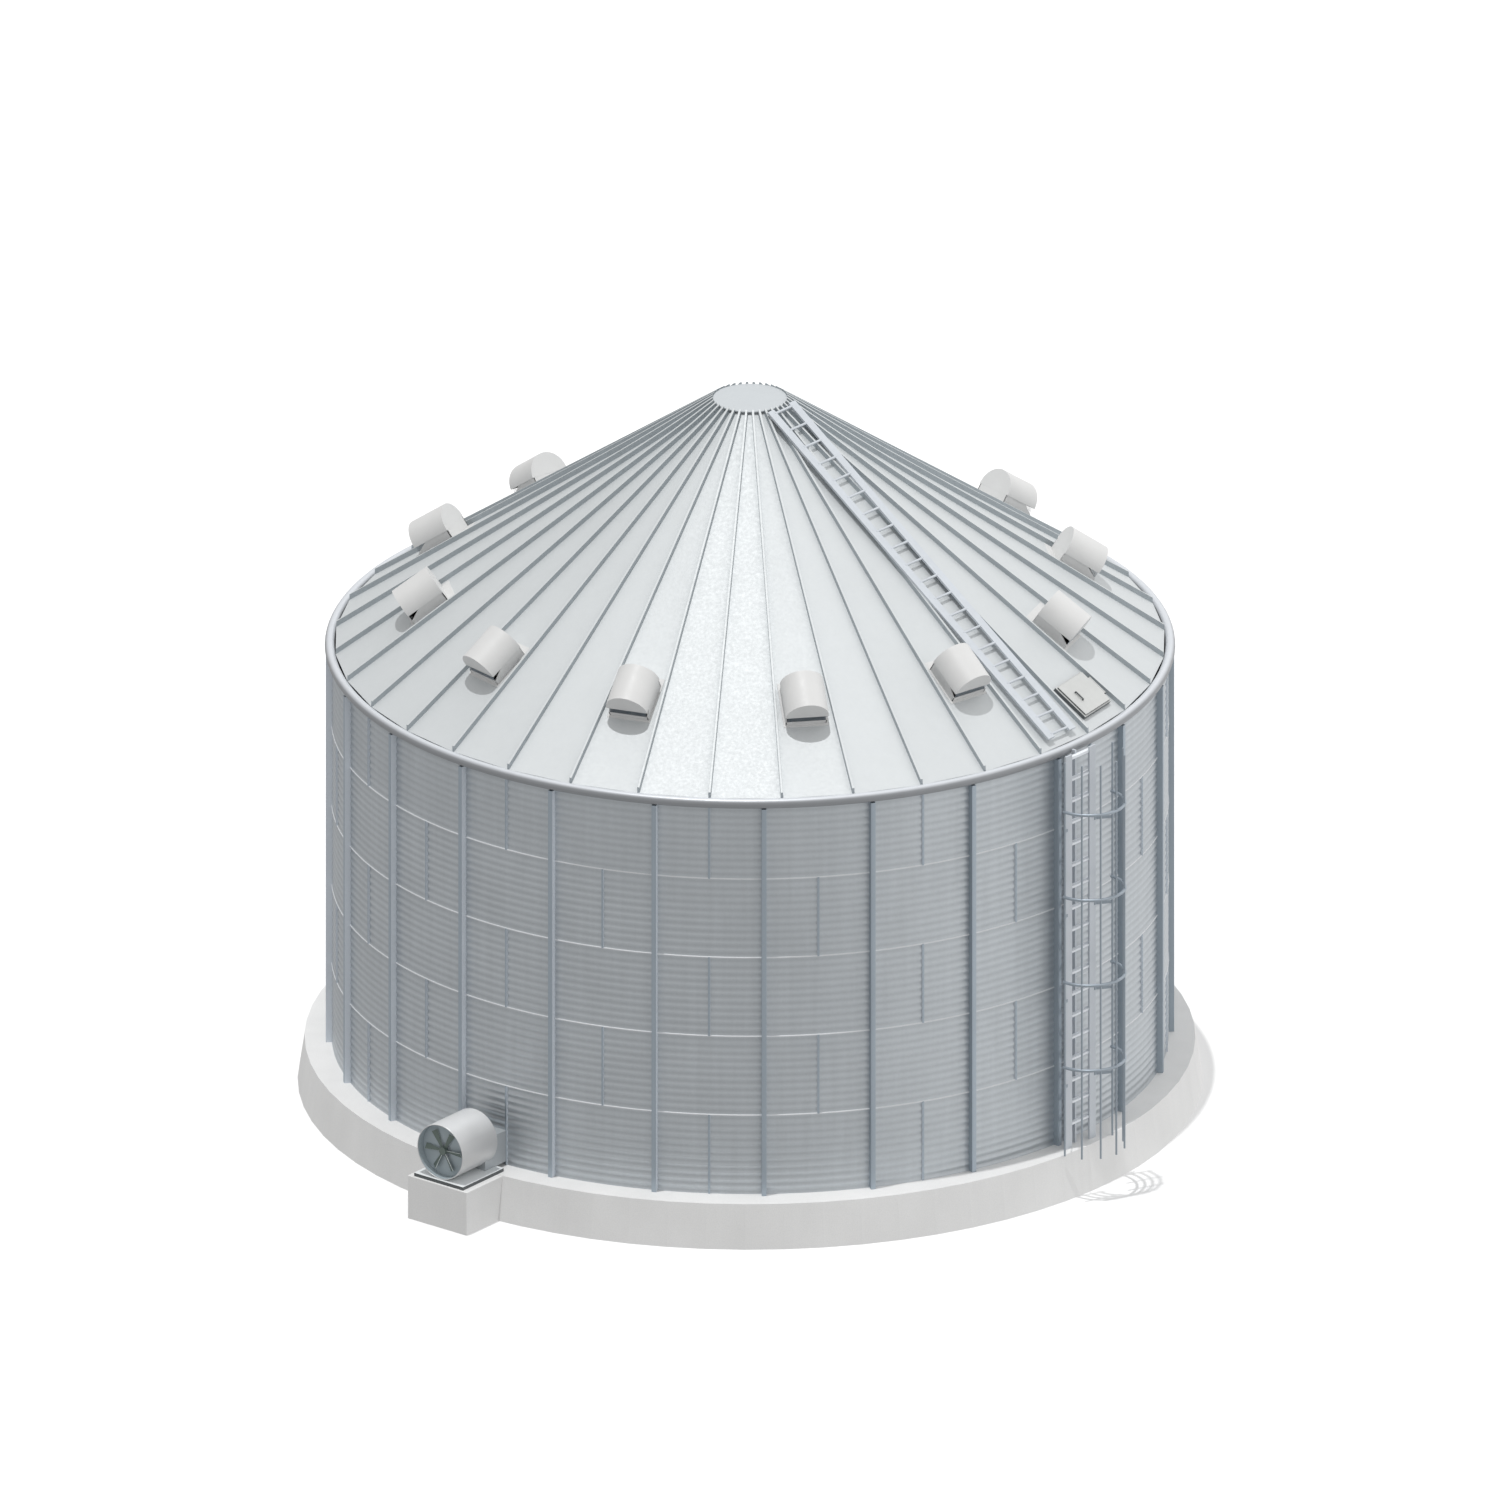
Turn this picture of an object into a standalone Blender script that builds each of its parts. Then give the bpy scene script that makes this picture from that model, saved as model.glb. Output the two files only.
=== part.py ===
"""A flat-bottomed corrugated steel grain silo on a round concrete foundation.

Units are metres and +Z is up. The origin is on the ground, on the silo's axis.
A place round the silo is given by its bearing, in degrees from -Y towards +X.
In a frame turned to a bearing, +X points to the side, -Y points out from the silo
and +Z points up. On the roof that frame also leans back to lie on a roof panel, so
that +Y points up the slope and +Z points straight out of the panel.
"""

import math

import bmesh
import bpy
from mathutils import Matrix, Vector

# Clearance between pieces that rest on each other
SEAT = 0.0003

# Foundation
GROUND_TO_FLOOR = 0.61
FOUNDATION_TOP_RADIUS = 5.853
FOUNDATION_FOOT_RADIUS = 5.945

# Steel wall
FACET = 5
SHARP_ANGLE = 35
WALL_RADIUS = 5.50
WALL_DEPTH = 0.014
WALL_SEGMENTS = 6
STIFFENER_STEP = 15
STIFFENER_FIRST = 7.5
STIFFENER_WIDTH = 0.0625
STIFFENER_REACH = 5.576

# Eave tube
EAVE_SEGMENTS = 4
EAVE_JOINT_BEARING = 30
EAVE_TUBE_OUT = 5.52
EAVE_TUBE_RADIUS = 0.0675
EAVE_TUBE_UP = GROUND_TO_FLOOR + 5.55
EAVE_TUBE_SIDES = 12
EAVE_CONTACT = 30

# Roof
ROOF_SEGMENTS = 6
RIB_STEP = 10
ROOF_PITCH = math.radians(34.55)
ROOF_SHEET = 0.008
ROOF_TOP_OUT = 0.44
RIB_WIDTH = 0.03
RIB_HEIGHT = 0.065
RIB_SUNK = 0.6 * ROOF_SHEET
RIB_TOP_OUT = 0.489
RIB_SETBACK = 0.002
CAP_RADIUS = 0.488
CAP_THICKNESS = 0.020
COLLAR_DEPTH = 0.12
COLLAR_THICKNESS = 0.03
ROOF_CUT_REACH = 0.1

# Roof vents
VENT_STEP = 30
VENT_FIRST = 15
VENT_OUT = 4.279
VENT_FLANGE_HALF = 0.30
VENT_FLANGE_ALONG = (-0.3125, 0.3825)
VENT_FLANGE_SHEET = 0.006
VENT_CURB = (0.548, 0.551)
VENT_CURB_HEIGHT = 0.165
VENT_CURB_SHEET = 0.015
VENT_CURB_TUCK = 0.05
VENT_FRONT_HEIGHT = 0.0705
VENT_MOUTH_DEPTH = 0.17
VENT_HOOD_WIDTH = 0.575
VENT_HOOD_LENGTH = 0.555
VENT_HOOD_RISE = 0.285
VENT_HOOD_SHEET = 0.012
VENT_HOOD_SIDES = 10

# Roof hatch
HATCH_BEARING = 65
HATCH_OUT = 5.055
HATCH_CURB = (0.66, 0.56)
HATCH_CURB_HEIGHT = 0.055
HATCH_CURB_SHEET = 0.03
HATCH_LID = (0.62, 0.52, 0.02)
LID_CLEARANCE = 0.005
HATCH_HINGE_SIDE = 0.346
HINGE_PIN_RADIUS = 0.006
HINGE_BARREL_RADIUS = 0.012
HINGE_BARREL_BORE = 0.0068
HINGE_BARREL_LENGTH = 0.30
HINGE_SIDES = 12
HINGE_BORE_SIDES = 16
HINGE_LUG = 0.010
HINGE_LUG_FOOT = 0.03
HINGE_LUG_MARGIN = 0.004
HINGE_LEAF = 0.004
HINGE_LEAF_LAP = 0.02
HANDLE_LENGTH = 0.154
HANDLE_SIDE = -0.138
HANDLE_BAR = 0.016
HANDLE_RISE = 0.028
HANDLE_GAP = (0.0001, 0.016)

# Ladders
LADDER_BEARING = 55
RUNG_STEP = 0.3048
RAIL_INNER = 0.175
RAIL_OUTER = 0.3025
RAIL_THICKNESS = 0.0265
RUNG_HEIGHT = 0.035
RUNG_DEPTH = 0.045
RUNG_SUNK = 0.012
RUNG_LAP = 0.05
ROOF_LADDER_TOP_OUT = 0.49
ROOF_LADDER_FOOT_OUT = 5.35
ROOF_RAIL_INNER = 0.150
ROOF_RAIL_OUTER = 0.275
ROOF_RAIL_THICKNESS = 0.030
ROOF_RUNG_SUNK = 0.01
ROOF_RUNG_INSET = 0.002
SIDE_LADDER_OUT = 5.70
SIDE_LADDER_TOP = 5.567
SIDE_RUNGS = 18
SIDE_RUNG_FIRST = 0.32
SPINE_WIDTH = 0.030
SPINE_SIDE = -0.025
SPINE_FLANGE_IN = 5.600
SPINE_OUT = 5.660
SPINE_TOP = 5.46
SPINE_WEB_INSET = 0.005
SPINE_WEB_LAP = 0.01

# Safety cage round the side ladder
CAGE_OUT = 5.86
CAGE_RADIUS = 0.48
CAGE_HOOPS = 4
CAGE_HOOP_FIRST = 1.255
CAGE_HOOP_STEP = 1.208
CAGE_HOOP_TUBE = 0.021
CAGE_HOOP_END = 2.5
CAGE_HOOP_FACET = 15
CAGE_TUBE_SIDES = 6
CAGE_BARS = 7
CAGE_BAR_TUBE = 0.0135
CAGE_TOP = 5.578
CAGE_STAY_DROP = 0.355
CAGE_STAY = (0.008, 0.040)
CAGE_STAY_TAB = 0.03

# Aeration fan
FAN_BEARING = -33
PLINTH_HALF = 0.495
PLINTH_FACE_OUT = 6.59
PLINTH_OVERLAP = 0.1
BASE_HALF = 0.41
BASE_OUT = (5.70, 6.56)
BASE_THICKNESS = 0.05
DRUM_RADIUS = 0.382
DRUM_SHEET = 0.012
DRUM_OUT = (5.79, 6.53)
DRUM_SIDES = 32
DRUM_OUTLET = (0.25, 0.15, 0.50)
DRUM_CUT_REACH = 0.1
FAN_AXIS_UP = GROUND_TO_FLOOR + BASE_THICKNESS + 2 * SEAT + DRUM_RADIUS
DUCT_HALF = 0.29
DUCT_UP = (0.0506, 0.49)
DUCT_SHEET = 0.010
DUCT_FACE_OUT = 5.94
DUCT_INTO_WALL = 0.06
DUCT_CUT_INWARDS = 0.2
INLET_CUT = (0.05, 0.10)
ROTOR_OUT = (6.42, 6.49)
HUB_RADIUS = 0.055
BLADES = 6
BLADE_TIP = 0.295
BLADE_ROOT = 0.040
BLADE_WIDTHS = (0.026, 0.085)
BLADE_THICKNESS = 0.008
BLADE_PITCH = math.radians(32)
MOTOR_RADIUS = 0.105
MOTOR_BACK_OUT = 6.10
MOTOR_SIDES = 16
MOTOR_ARMS = 4
MOTOR_ARM_FIRST = 45
MOTOR_ARM_WIDTH = 0.04
MOTOR_ARM_FROM_BACK = (0.03, 0.05)

COLOURS = {
    "concrete": ((0.62, 0.62, 0.61), 0.85, 0.0),
    "galvanised_sheet": ((0.58, 0.60, 0.62), 0.42, 0.8),
    "roof_sheet": ((0.74, 0.75, 0.76), 0.38, 0.8),
    "galvanised_frame": ((0.45, 0.49, 0.53), 0.45, 0.8),
    "white_painted_steel": ((0.78, 0.78, 0.77), 0.45, 0.1),
    "dark_fan": ((0.20, 0.24, 0.23), 0.50, 0.3),
}


def clear_scene():
    for item in list(bpy.data.objects):
        bpy.data.objects.remove(item)


def make_material(name):
    colour, roughness, metallic = COLOURS[name]
    material = bpy.data.materials.new(name)
    material.use_nodes = True
    shader = material.node_tree.nodes["Principled BSDF"]
    shader.inputs["Base Color"].default_value = (*colour, 1)
    shader.inputs["Roughness"].default_value = roughness
    shader.inputs["Metallic"].default_value = metallic
    return material


def add_object(name, mesh, material, matrix=None):
    item = bpy.data.objects.new(name, mesh)
    bpy.context.scene.collection.objects.link(item)
    if material and not mesh.materials:
        mesh.materials.append(material)
    if matrix:
        item.matrix_world = matrix
    return item


def mesh_from(shape):
    """A mesh from a bmesh whose faces are turned outwards."""
    bmesh.ops.recalc_face_normals(shape, faces=shape.faces)
    mesh = bpy.data.meshes.new("shape")
    shape.to_mesh(mesh)
    shape.free()
    return mesh


def boxes(*corners):
    """One mesh of separate boxes, each from its low corner to its high corner."""
    shape = bmesh.new()
    for low, high in corners:
        size = [b - a for a, b in zip(low, high)]
        middle = [(a + b) / 2 for a, b in zip(low, high)]
        place = Matrix.Translation(middle) @ Matrix.Diagonal((*size, 1))
        bmesh.ops.create_cube(shape, size=1, matrix=place)
    return mesh_from(shape)


def rods(radius, sides, *ends):
    """One mesh of separate round rods, each from one end point to the other."""
    shape = bmesh.new()
    for start, end in ends:
        start, end = Vector(start), Vector(end)
        along = end - start
        place = Matrix.Translation((start + end) / 2) @ along.to_track_quat("Z", "Y").to_matrix().to_4x4()
        bmesh.ops.create_cone(
            shape, cap_ends=True, segments=sides, radius1=radius, radius2=radius,
            depth=along.length, matrix=place,
        )
    return mesh_from(shape)


def prism(outline, low, high):
    """A flat outline, as (x, y) points, drawn up from one height to another."""
    shape = bmesh.new()
    foot = [shape.verts.new((x, y, low)) for x, y in outline]
    top = [shape.verts.new((x, y, high)) for x, y in outline]
    shape.faces.new(foot)
    shape.faces.new(top)
    join_loops(shape, foot, top)
    return mesh_from(shape)


def join_loops(shape, first, second, closed=True):
    count = len(first)
    for i in range(count if closed else count - 1):
        j = (i + 1) % count
        shape.faces.new((first[i], first[j], second[j], second[i]))


def turned(section, bearings):
    """An (out, up) section carried round the axis from bearing to bearing, with flat ends."""
    shape = bmesh.new()
    loops = [[shape.verts.new(at_bearing(b, out, up)) for out, up in section] for b in bearings]
    for first, second in zip(loops, loops[1:]):
        join_loops(shape, first, second)
    shape.faces.new(loops[0])
    shape.faces.new(loops[-1])
    return mesh_from(shape)


def at_bearing(bearing, out, up=0.0, side=0.0):
    angle = math.radians(bearing)
    return Vector((
        out * math.sin(angle) + side * math.cos(angle),
        side * math.sin(angle) - out * math.cos(angle),
        up,
    ))


def turned_to(bearing, up=0.0):
    """The frame at a bearing: +X to the side, -Y out, +Z up."""
    return Matrix.Translation((0, 0, up)) @ Matrix.Rotation(math.radians(bearing), 4, "Z")


def combine(body, tool_mesh, operation, matrix=None):
    """Join a tool mesh to a body, or cut it away, and keep the one resulting solid."""
    tool = add_object("tool", tool_mesh, None, matrix)
    step = body.modifiers.new(operation.lower(), "BOOLEAN")
    step.operation = operation
    step.solver = "EXACT"
    step.object = tool
    bpy.context.view_layer.update()
    graph = bpy.context.evaluated_depsgraph_get()
    result = bpy.data.meshes.new_from_object(body.evaluated_get(graph))
    body.modifiers.clear()
    body.data = result
    bpy.data.objects.remove(tool)


def evenly(start, end, step):
    count = round((end - start) / step)
    return [start + step * i for i in range(count + 1)]


def rib_line_slope():
    """Fall of the roof along a rib, which is a little less than along a panel's middle."""
    return math.tan(ROOF_PITCH) * math.cos(math.radians(RIB_STEP / 2))


def rib_line_up(out):
    """Height of the roof sheet's upper face on a rib's line, so that it lands on the eave tube."""
    reach = EAVE_TUBE_RADIUS + SEAT
    contact_out = EAVE_TUBE_OUT - reach * math.cos(math.radians(EAVE_CONTACT))
    contact_up = EAVE_TUBE_UP + reach * math.sin(math.radians(EAVE_CONTACT))
    sheet = ROOF_SHEET / math.cos(ROOF_PITCH)
    return contact_up + sheet + rib_line_slope() * (contact_out - out)


def panel_up(out):
    """Height of a roof panel's upper face on the panel's middle line."""
    return rib_line_up(out / math.cos(math.radians(RIB_STEP / 2)))


def on_panel(bearing, out, lift=0.0):
    """The frame on a roof panel: +X to the side, +Y up the slope, +Z out of the panel."""
    lean = Matrix.Rotation(ROOF_PITCH, 4, "X")
    place = Matrix.Translation(at_bearing(bearing, out, panel_up(out)))
    return place @ Matrix.Rotation(math.radians(bearing), 4, "Z") @ lean @ Matrix.Translation((0, 0, lift))


def rib_top_lift():
    """How far a rib's top edge stands out of the panel beside it."""
    half_step = math.radians(RIB_STEP / 2)
    return RIB_HEIGHT + RIB_WIDTH / 2 * math.sin(half_step) * math.sin(ROOF_PITCH)


def roof_foot_out():
    return EAVE_TUBE_OUT - (EAVE_TUBE_RADIUS + SEAT) * math.cos(math.radians(EAVE_CONTACT))


def build_foundation(materials):
    section_loops = ((FOUNDATION_FOOT_RADIUS, 0.0), (FOUNDATION_TOP_RADIUS, GROUND_TO_FLOOR))
    mesh = frustum(section_loops)
    add_object("foundation", mesh, materials["concrete"])


def frustum(rings, grow=0.0):
    """A solid through two rings, each (radius, height), grown outwards for a cutter."""
    shape = bmesh.new()
    bearings = evenly(0, 360 - FACET, FACET)
    loops = [
        [shape.verts.new(at_bearing(b, radius + grow, up)) for b in bearings]
        for radius, up in rings
    ]
    shape.faces.new(loops[0])
    shape.faces.new(loops[1])
    join_loops(shape, loops[0], loops[1])
    return mesh_from(shape)


def stiffener_points(bearing):
    half = STIFFENER_WIDTH / 2
    flat_out = WALL_RADIUS * math.cos(math.radians(FACET / 2))
    corners = ((-half, flat_out), (-half, STIFFENER_REACH), (half, STIFFENER_REACH), (half, flat_out))
    return [at_bearing(bearing, out, side=side).to_2d() for side, out in corners]


def wall_outline():
    """Plan of one wall segment: the sheet's band with its stiffeners standing out of it."""
    span = 360 / WALL_SEGMENTS
    gap = math.degrees(SEAT / 2 / WALL_RADIUS)
    bearings = evenly(0, span, FACET)
    bearings[0] += gap
    bearings[-1] -= gap
    outline = []
    for first, second in zip(bearings, bearings[1:]):
        outline.append(at_bearing(first, WALL_RADIUS).to_2d())
        middle = (round(first / FACET) + 0.5) * FACET
        if (middle - STIFFENER_FIRST) % STIFFENER_STEP == 0:
            outline += stiffener_points(middle)
    outline.append(at_bearing(bearings[-1], WALL_RADIUS).to_2d())
    outline += [at_bearing(b, WALL_RADIUS - WALL_DEPTH).to_2d() for b in reversed(bearings)]
    return outline


def build_wall(materials):
    low = GROUND_TO_FLOOR + SEAT
    high = EAVE_TUBE_UP - EAVE_TUBE_RADIUS - SEAT
    mesh = prism(wall_outline(), low, high)
    span = 360 / WALL_SEGMENTS
    for k in range(WALL_SEGMENTS):
        piece = add_object(
            f"wall_segment_{k + 1}", mesh, materials["galvanised_sheet"], turned_to(k * span)
        )
        if k * span < FAN_BEARING % 360 < (k + 1) * span:
            cut_fan_inlet(piece)


def cut_fan_inlet(piece):
    half = DUCT_HALF - DUCT_SHEET
    low = GROUND_TO_FLOOR + DUCT_UP[0] + DUCT_SHEET
    high = GROUND_TO_FLOOR + DUCT_UP[1] - DUCT_SHEET
    outwards, inwards = INLET_CUT
    cutter = boxes(((-half, -WALL_RADIUS - outwards, low), (half, -WALL_RADIUS + inwards, high)))
    combine(piece, cutter, "DIFFERENCE", turned_to(FAN_BEARING))


def build_eave(materials):
    span = 360 / EAVE_SEGMENTS
    gap = math.degrees(SEAT / 2 / EAVE_TUBE_OUT)
    bearings = evenly(0, span, FACET)
    bearings[0] += gap
    bearings[-1] -= gap
    section = [
        (
            EAVE_TUBE_OUT + EAVE_TUBE_RADIUS * math.cos(2 * math.pi * i / EAVE_TUBE_SIDES),
            EAVE_TUBE_UP + EAVE_TUBE_RADIUS * math.sin(2 * math.pi * i / EAVE_TUBE_SIDES),
        )
        for i in range(EAVE_TUBE_SIDES)
    ]
    mesh = turned(section, bearings)
    for k in range(EAVE_SEGMENTS):
        place = turned_to(k * span + EAVE_JOINT_BEARING)
        add_object(f"eave_tube_{k + 1}", mesh, materials["roof_sheet"], place)


def roof_sheet_mesh():
    """The folded sheet of one roof segment, flat between its ribs, from half a panel to half a panel."""
    span = 360 / ROOF_SEGMENTS
    half_step = RIB_STEP / 2
    sheet = ROOF_SHEET / math.cos(ROOF_PITCH)
    gap = math.degrees(SEAT / 2 / ROOF_TOP_OUT)
    ribs = evenly(0, span - RIB_STEP, RIB_STEP)

    def chain(out, drop):
        up = rib_line_up(out) - drop
        middle_out = out * math.cos(math.radians(half_step))
        start = at_bearing(-half_step + gap, middle_out, up)
        end = at_bearing(span - half_step - gap, middle_out, up)
        return [start, *(at_bearing(b, out, up) for b in ribs), end]

    shape = bmesh.new()
    rows = [
        [shape.verts.new(point) for point in chain(out, drop)]
        for out, drop in (
            (ROOF_TOP_OUT, 0), (roof_foot_out(), 0), (roof_foot_out(), sheet), (ROOF_TOP_OUT, sheet)
        )
    ]
    for first, second in zip(rows, rows[1:] + rows[:1]):
        join_loops(shape, first, second, closed=False)
    for end in (0, -1):
        shape.faces.new([row[end] for row in rows])
    return mesh_from(shape)


def rib_mesh():
    """The ribs of one roof segment, which run down the sheet's folds from the cap's rim."""
    shape = bmesh.new()
    half = RIB_WIDTH / 2
    rise = RIB_HEIGHT / math.cos(ROOF_PITCH)
    sunk = RIB_SUNK / math.cos(ROOF_PITCH)
    for bearing in evenly(0, 360 / ROOF_SEGMENTS - RIB_STEP, RIB_STEP):
        loops = [
            [
                shape.verts.new(at_bearing(bearing, out, rib_line_up(out) + lift, side))
                for side, lift in ((-half, -sunk), (half, -sunk), (half, rise), (-half, rise))
            ]
            for out in (RIB_TOP_OUT, roof_foot_out() - RIB_SETBACK)
        ]
        join_loops(shape, loops[0], loops[1])
        shape.faces.new(loops[0])
        shape.faces.new(loops[1])
    return mesh_from(shape)


def vent_throat_half():
    return VENT_CURB[0] / 2 - VENT_CURB_SHEET, VENT_CURB[1] / 2 - VENT_CURB_SHEET


def vent_bearings():
    return evenly(VENT_FIRST, VENT_FIRST + 360 - VENT_STEP, VENT_STEP)


def build_roof(materials):
    span = 360 / ROOF_SEGMENTS
    pattern = add_object("pattern", roof_sheet_mesh(), materials["roof_sheet"])
    combine(pattern, rib_mesh(), "UNION")
    across, along = vent_throat_half()
    for bearing in vent_bearings():
        if bearing < span - RIB_STEP / 2:
            combine(pattern, roof_cutter(across, along), "DIFFERENCE", on_panel(bearing, VENT_OUT))
    for k in range(ROOF_SEGMENTS):
        piece = add_object(
            f"roof_segment_{k + 1}", pattern.data, materials["roof_sheet"], turned_to(k * span)
        )
        if 0 < HATCH_BEARING - (k * span - RIB_STEP / 2) < span:
            half = [side / 2 - HATCH_CURB_SHEET for side in HATCH_CURB]
            combine(piece, roof_cutter(*half), "DIFFERENCE", on_panel(HATCH_BEARING, HATCH_OUT))
    bpy.data.objects.remove(pattern)


def roof_cutter(across, along):
    """A box that cuts a hole through the roof sheet, by its half sizes across and along."""
    return boxes(((-across, -along, -ROOF_CUT_REACH), (across, along, ROOF_CUT_REACH)))


def build_cap(materials):
    """The flat cap that rests on the sheets' upper edge, with the collar that they lean on."""
    under = rib_line_up(ROOF_TOP_OUT) + SEAT
    collar_out = ROOF_TOP_OUT - SEAT
    collar_in = collar_out - COLLAR_THICKNESS
    profile = (
        (collar_in, under),
        (collar_in, under - COLLAR_DEPTH),
        (collar_out, under - COLLAR_DEPTH),
        (collar_out, under),
        (CAP_RADIUS, under),
        (CAP_RADIUS, under + CAP_THICKNESS),
    )
    shape = bmesh.new()
    bearings = evenly(0, 360 - RIB_STEP, RIB_STEP)
    rings = [[shape.verts.new(at_bearing(b, out, up)) for b in bearings] for out, up in profile]
    for first, second in zip(rings, rings[1:]):
        join_loops(shape, first, second)
    shape.faces.new(rings[0])
    shape.faces.new(rings[-1])
    add_object("roof_cap", mesh_from(shape), materials["roof_sheet"])


def hood_outline(shrink):
    """Half of an ellipse, from one foot of the hood over its crown to the other."""
    half = VENT_HOOD_WIDTH / 2 - shrink
    rise = VENT_HOOD_RISE - shrink
    return [
        (
            half * math.cos(math.pi * i / VENT_HOOD_SIDES),
            rise * math.sin(math.pi * i / VENT_HOOD_SIDES),
        )
        for i in range(VENT_HOOD_SIDES + 1)
    ]


def hood_mesh(shrink, length, foot):
    """A solid under the hood's arch, from a height above the panel up to the arch."""
    shape = bmesh.new()
    outline = [(x, VENT_CURB_HEIGHT + z) for x, z in hood_outline(shrink)]
    outline += [(outline[-1][0], foot), (outline[0][0], foot)]
    ends = [[shape.verts.new((x, y, z)) for x, z in outline] for y in (-length / 2, length / 2)]
    join_loops(shape, ends[0], ends[1])
    shape.faces.new(ends[0])
    shape.faces.new(ends[1])
    return mesh_from(shape)


def curb_side_mesh(side):
    """One side wall of a vent's curb, cut back on a slant at the mouth, lying across X."""
    front, back = -VENT_CURB[1] / 2, VENT_CURB[1] / 2
    top = VENT_CURB_HEIGHT + VENT_CURB_TUCK
    outline = (
        (front, 0),
        (back, 0),
        (back, top),
        (front + VENT_MOUTH_DEPTH, top),
        (front + VENT_MOUTH_DEPTH, VENT_CURB_HEIGHT),
        (front, VENT_FRONT_HEIGHT),
    )
    inner = VENT_CURB[0] / 2 - VENT_CURB_SHEET
    shape = bmesh.new()
    loops = [
        [shape.verts.new((side * x, y, z)) for y, z in outline]
        for x in (inner, VENT_CURB[0] / 2)
    ]
    join_loops(shape, loops[0], loops[1])
    shape.faces.new(loops[0])
    shape.faces.new(loops[1])
    return mesh_from(shape)


def vent_mesh(materials):
    """One roof vent: a flange, a curb open at its down-slope end and an arched hood on top."""
    half_x, half_y = (side / 2 for side in VENT_CURB)
    hole_x, hole_y = vent_throat_half()
    front, back = VENT_FLANGE_ALONG
    flange = ((-VENT_FLANGE_HALF, front, 0), (VENT_FLANGE_HALF, back, VENT_FLANGE_SHEET))
    vent = add_object("pattern", boxes(flange), materials["white_painted_steel"])
    combine(vent, roof_cutter(hole_x, hole_y), "DIFFERENCE")
    front_wall = ((-half_x, -half_y, 0), (half_x, -hole_y, VENT_FRONT_HEIGHT))
    back_wall = ((-half_x, hole_y, 0), (half_x, half_y, VENT_CURB_HEIGHT + VENT_CURB_TUCK))
    walls = [boxes(front_wall), boxes(back_wall), curb_side_mesh(-1), curb_side_mesh(1)]
    for wall in walls:
        combine(vent, wall, "UNION")
    hood = add_object("pattern_hood", hood_mesh(0, VENT_HOOD_LENGTH, VENT_CURB_HEIGHT), None)
    inner_length = VENT_HOOD_LENGTH - 2 * VENT_HOOD_SHEET
    combine(hood, hood_mesh(VENT_HOOD_SHEET, inner_length, 0), "DIFFERENCE")
    mesh = hood.data
    bpy.data.objects.remove(hood)
    combine(vent, mesh, "UNION")
    mesh = vent.data
    bpy.data.objects.remove(vent)
    return mesh


def build_vents(materials):
    mesh = vent_mesh(materials)
    for number, bearing in enumerate(vent_bearings(), 1):
        place = on_panel(bearing, VENT_OUT, SEAT)
        add_object(f"roof_vent_{number:02d}", mesh, materials["white_painted_steel"], place)


def hinge_height():
    return HATCH_CURB_HEIGHT + LID_CLEARANCE + HATCH_LID[2] / 2


def build_hatch_frame(materials):
    outer = [side / 2 for side in HATCH_CURB]
    inner = [side - HATCH_CURB_SHEET for side in outer]
    frame = add_object(
        "hatch_frame",
        boxes(((-outer[0], -outer[1], 0), (outer[0], outer[1], HATCH_CURB_HEIGHT))),
        materials["galvanised_frame"],
        on_panel(HATCH_BEARING, HATCH_OUT, SEAT),
    )
    place = frame.matrix_world.copy()
    combine(frame, roof_cutter(*inner), "DIFFERENCE", place)
    barrel = HINGE_BARREL_LENGTH / 2 + SEAT
    margin = HINGE_PIN_RADIUS + HINGE_LUG_MARGIN
    lugs = [
        (
            (outer[0] - HINGE_LUG_MARGIN, y, HATCH_CURB_HEIGHT - HINGE_LUG_FOOT),
            (HATCH_HINGE_SIDE + margin, y + HINGE_LUG, hinge_height() + margin),
        )
        for y in (-barrel - HINGE_LUG, barrel)
    ]
    combine(frame, boxes(*lugs), "UNION", place)
    ends = [(HATCH_HINGE_SIDE, sign * (barrel + HINGE_LUG / 2), hinge_height()) for sign in (-1, 1)]
    combine(frame, rods(HINGE_PIN_RADIUS, HINGE_SIDES, ends), "UNION", place)


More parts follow.
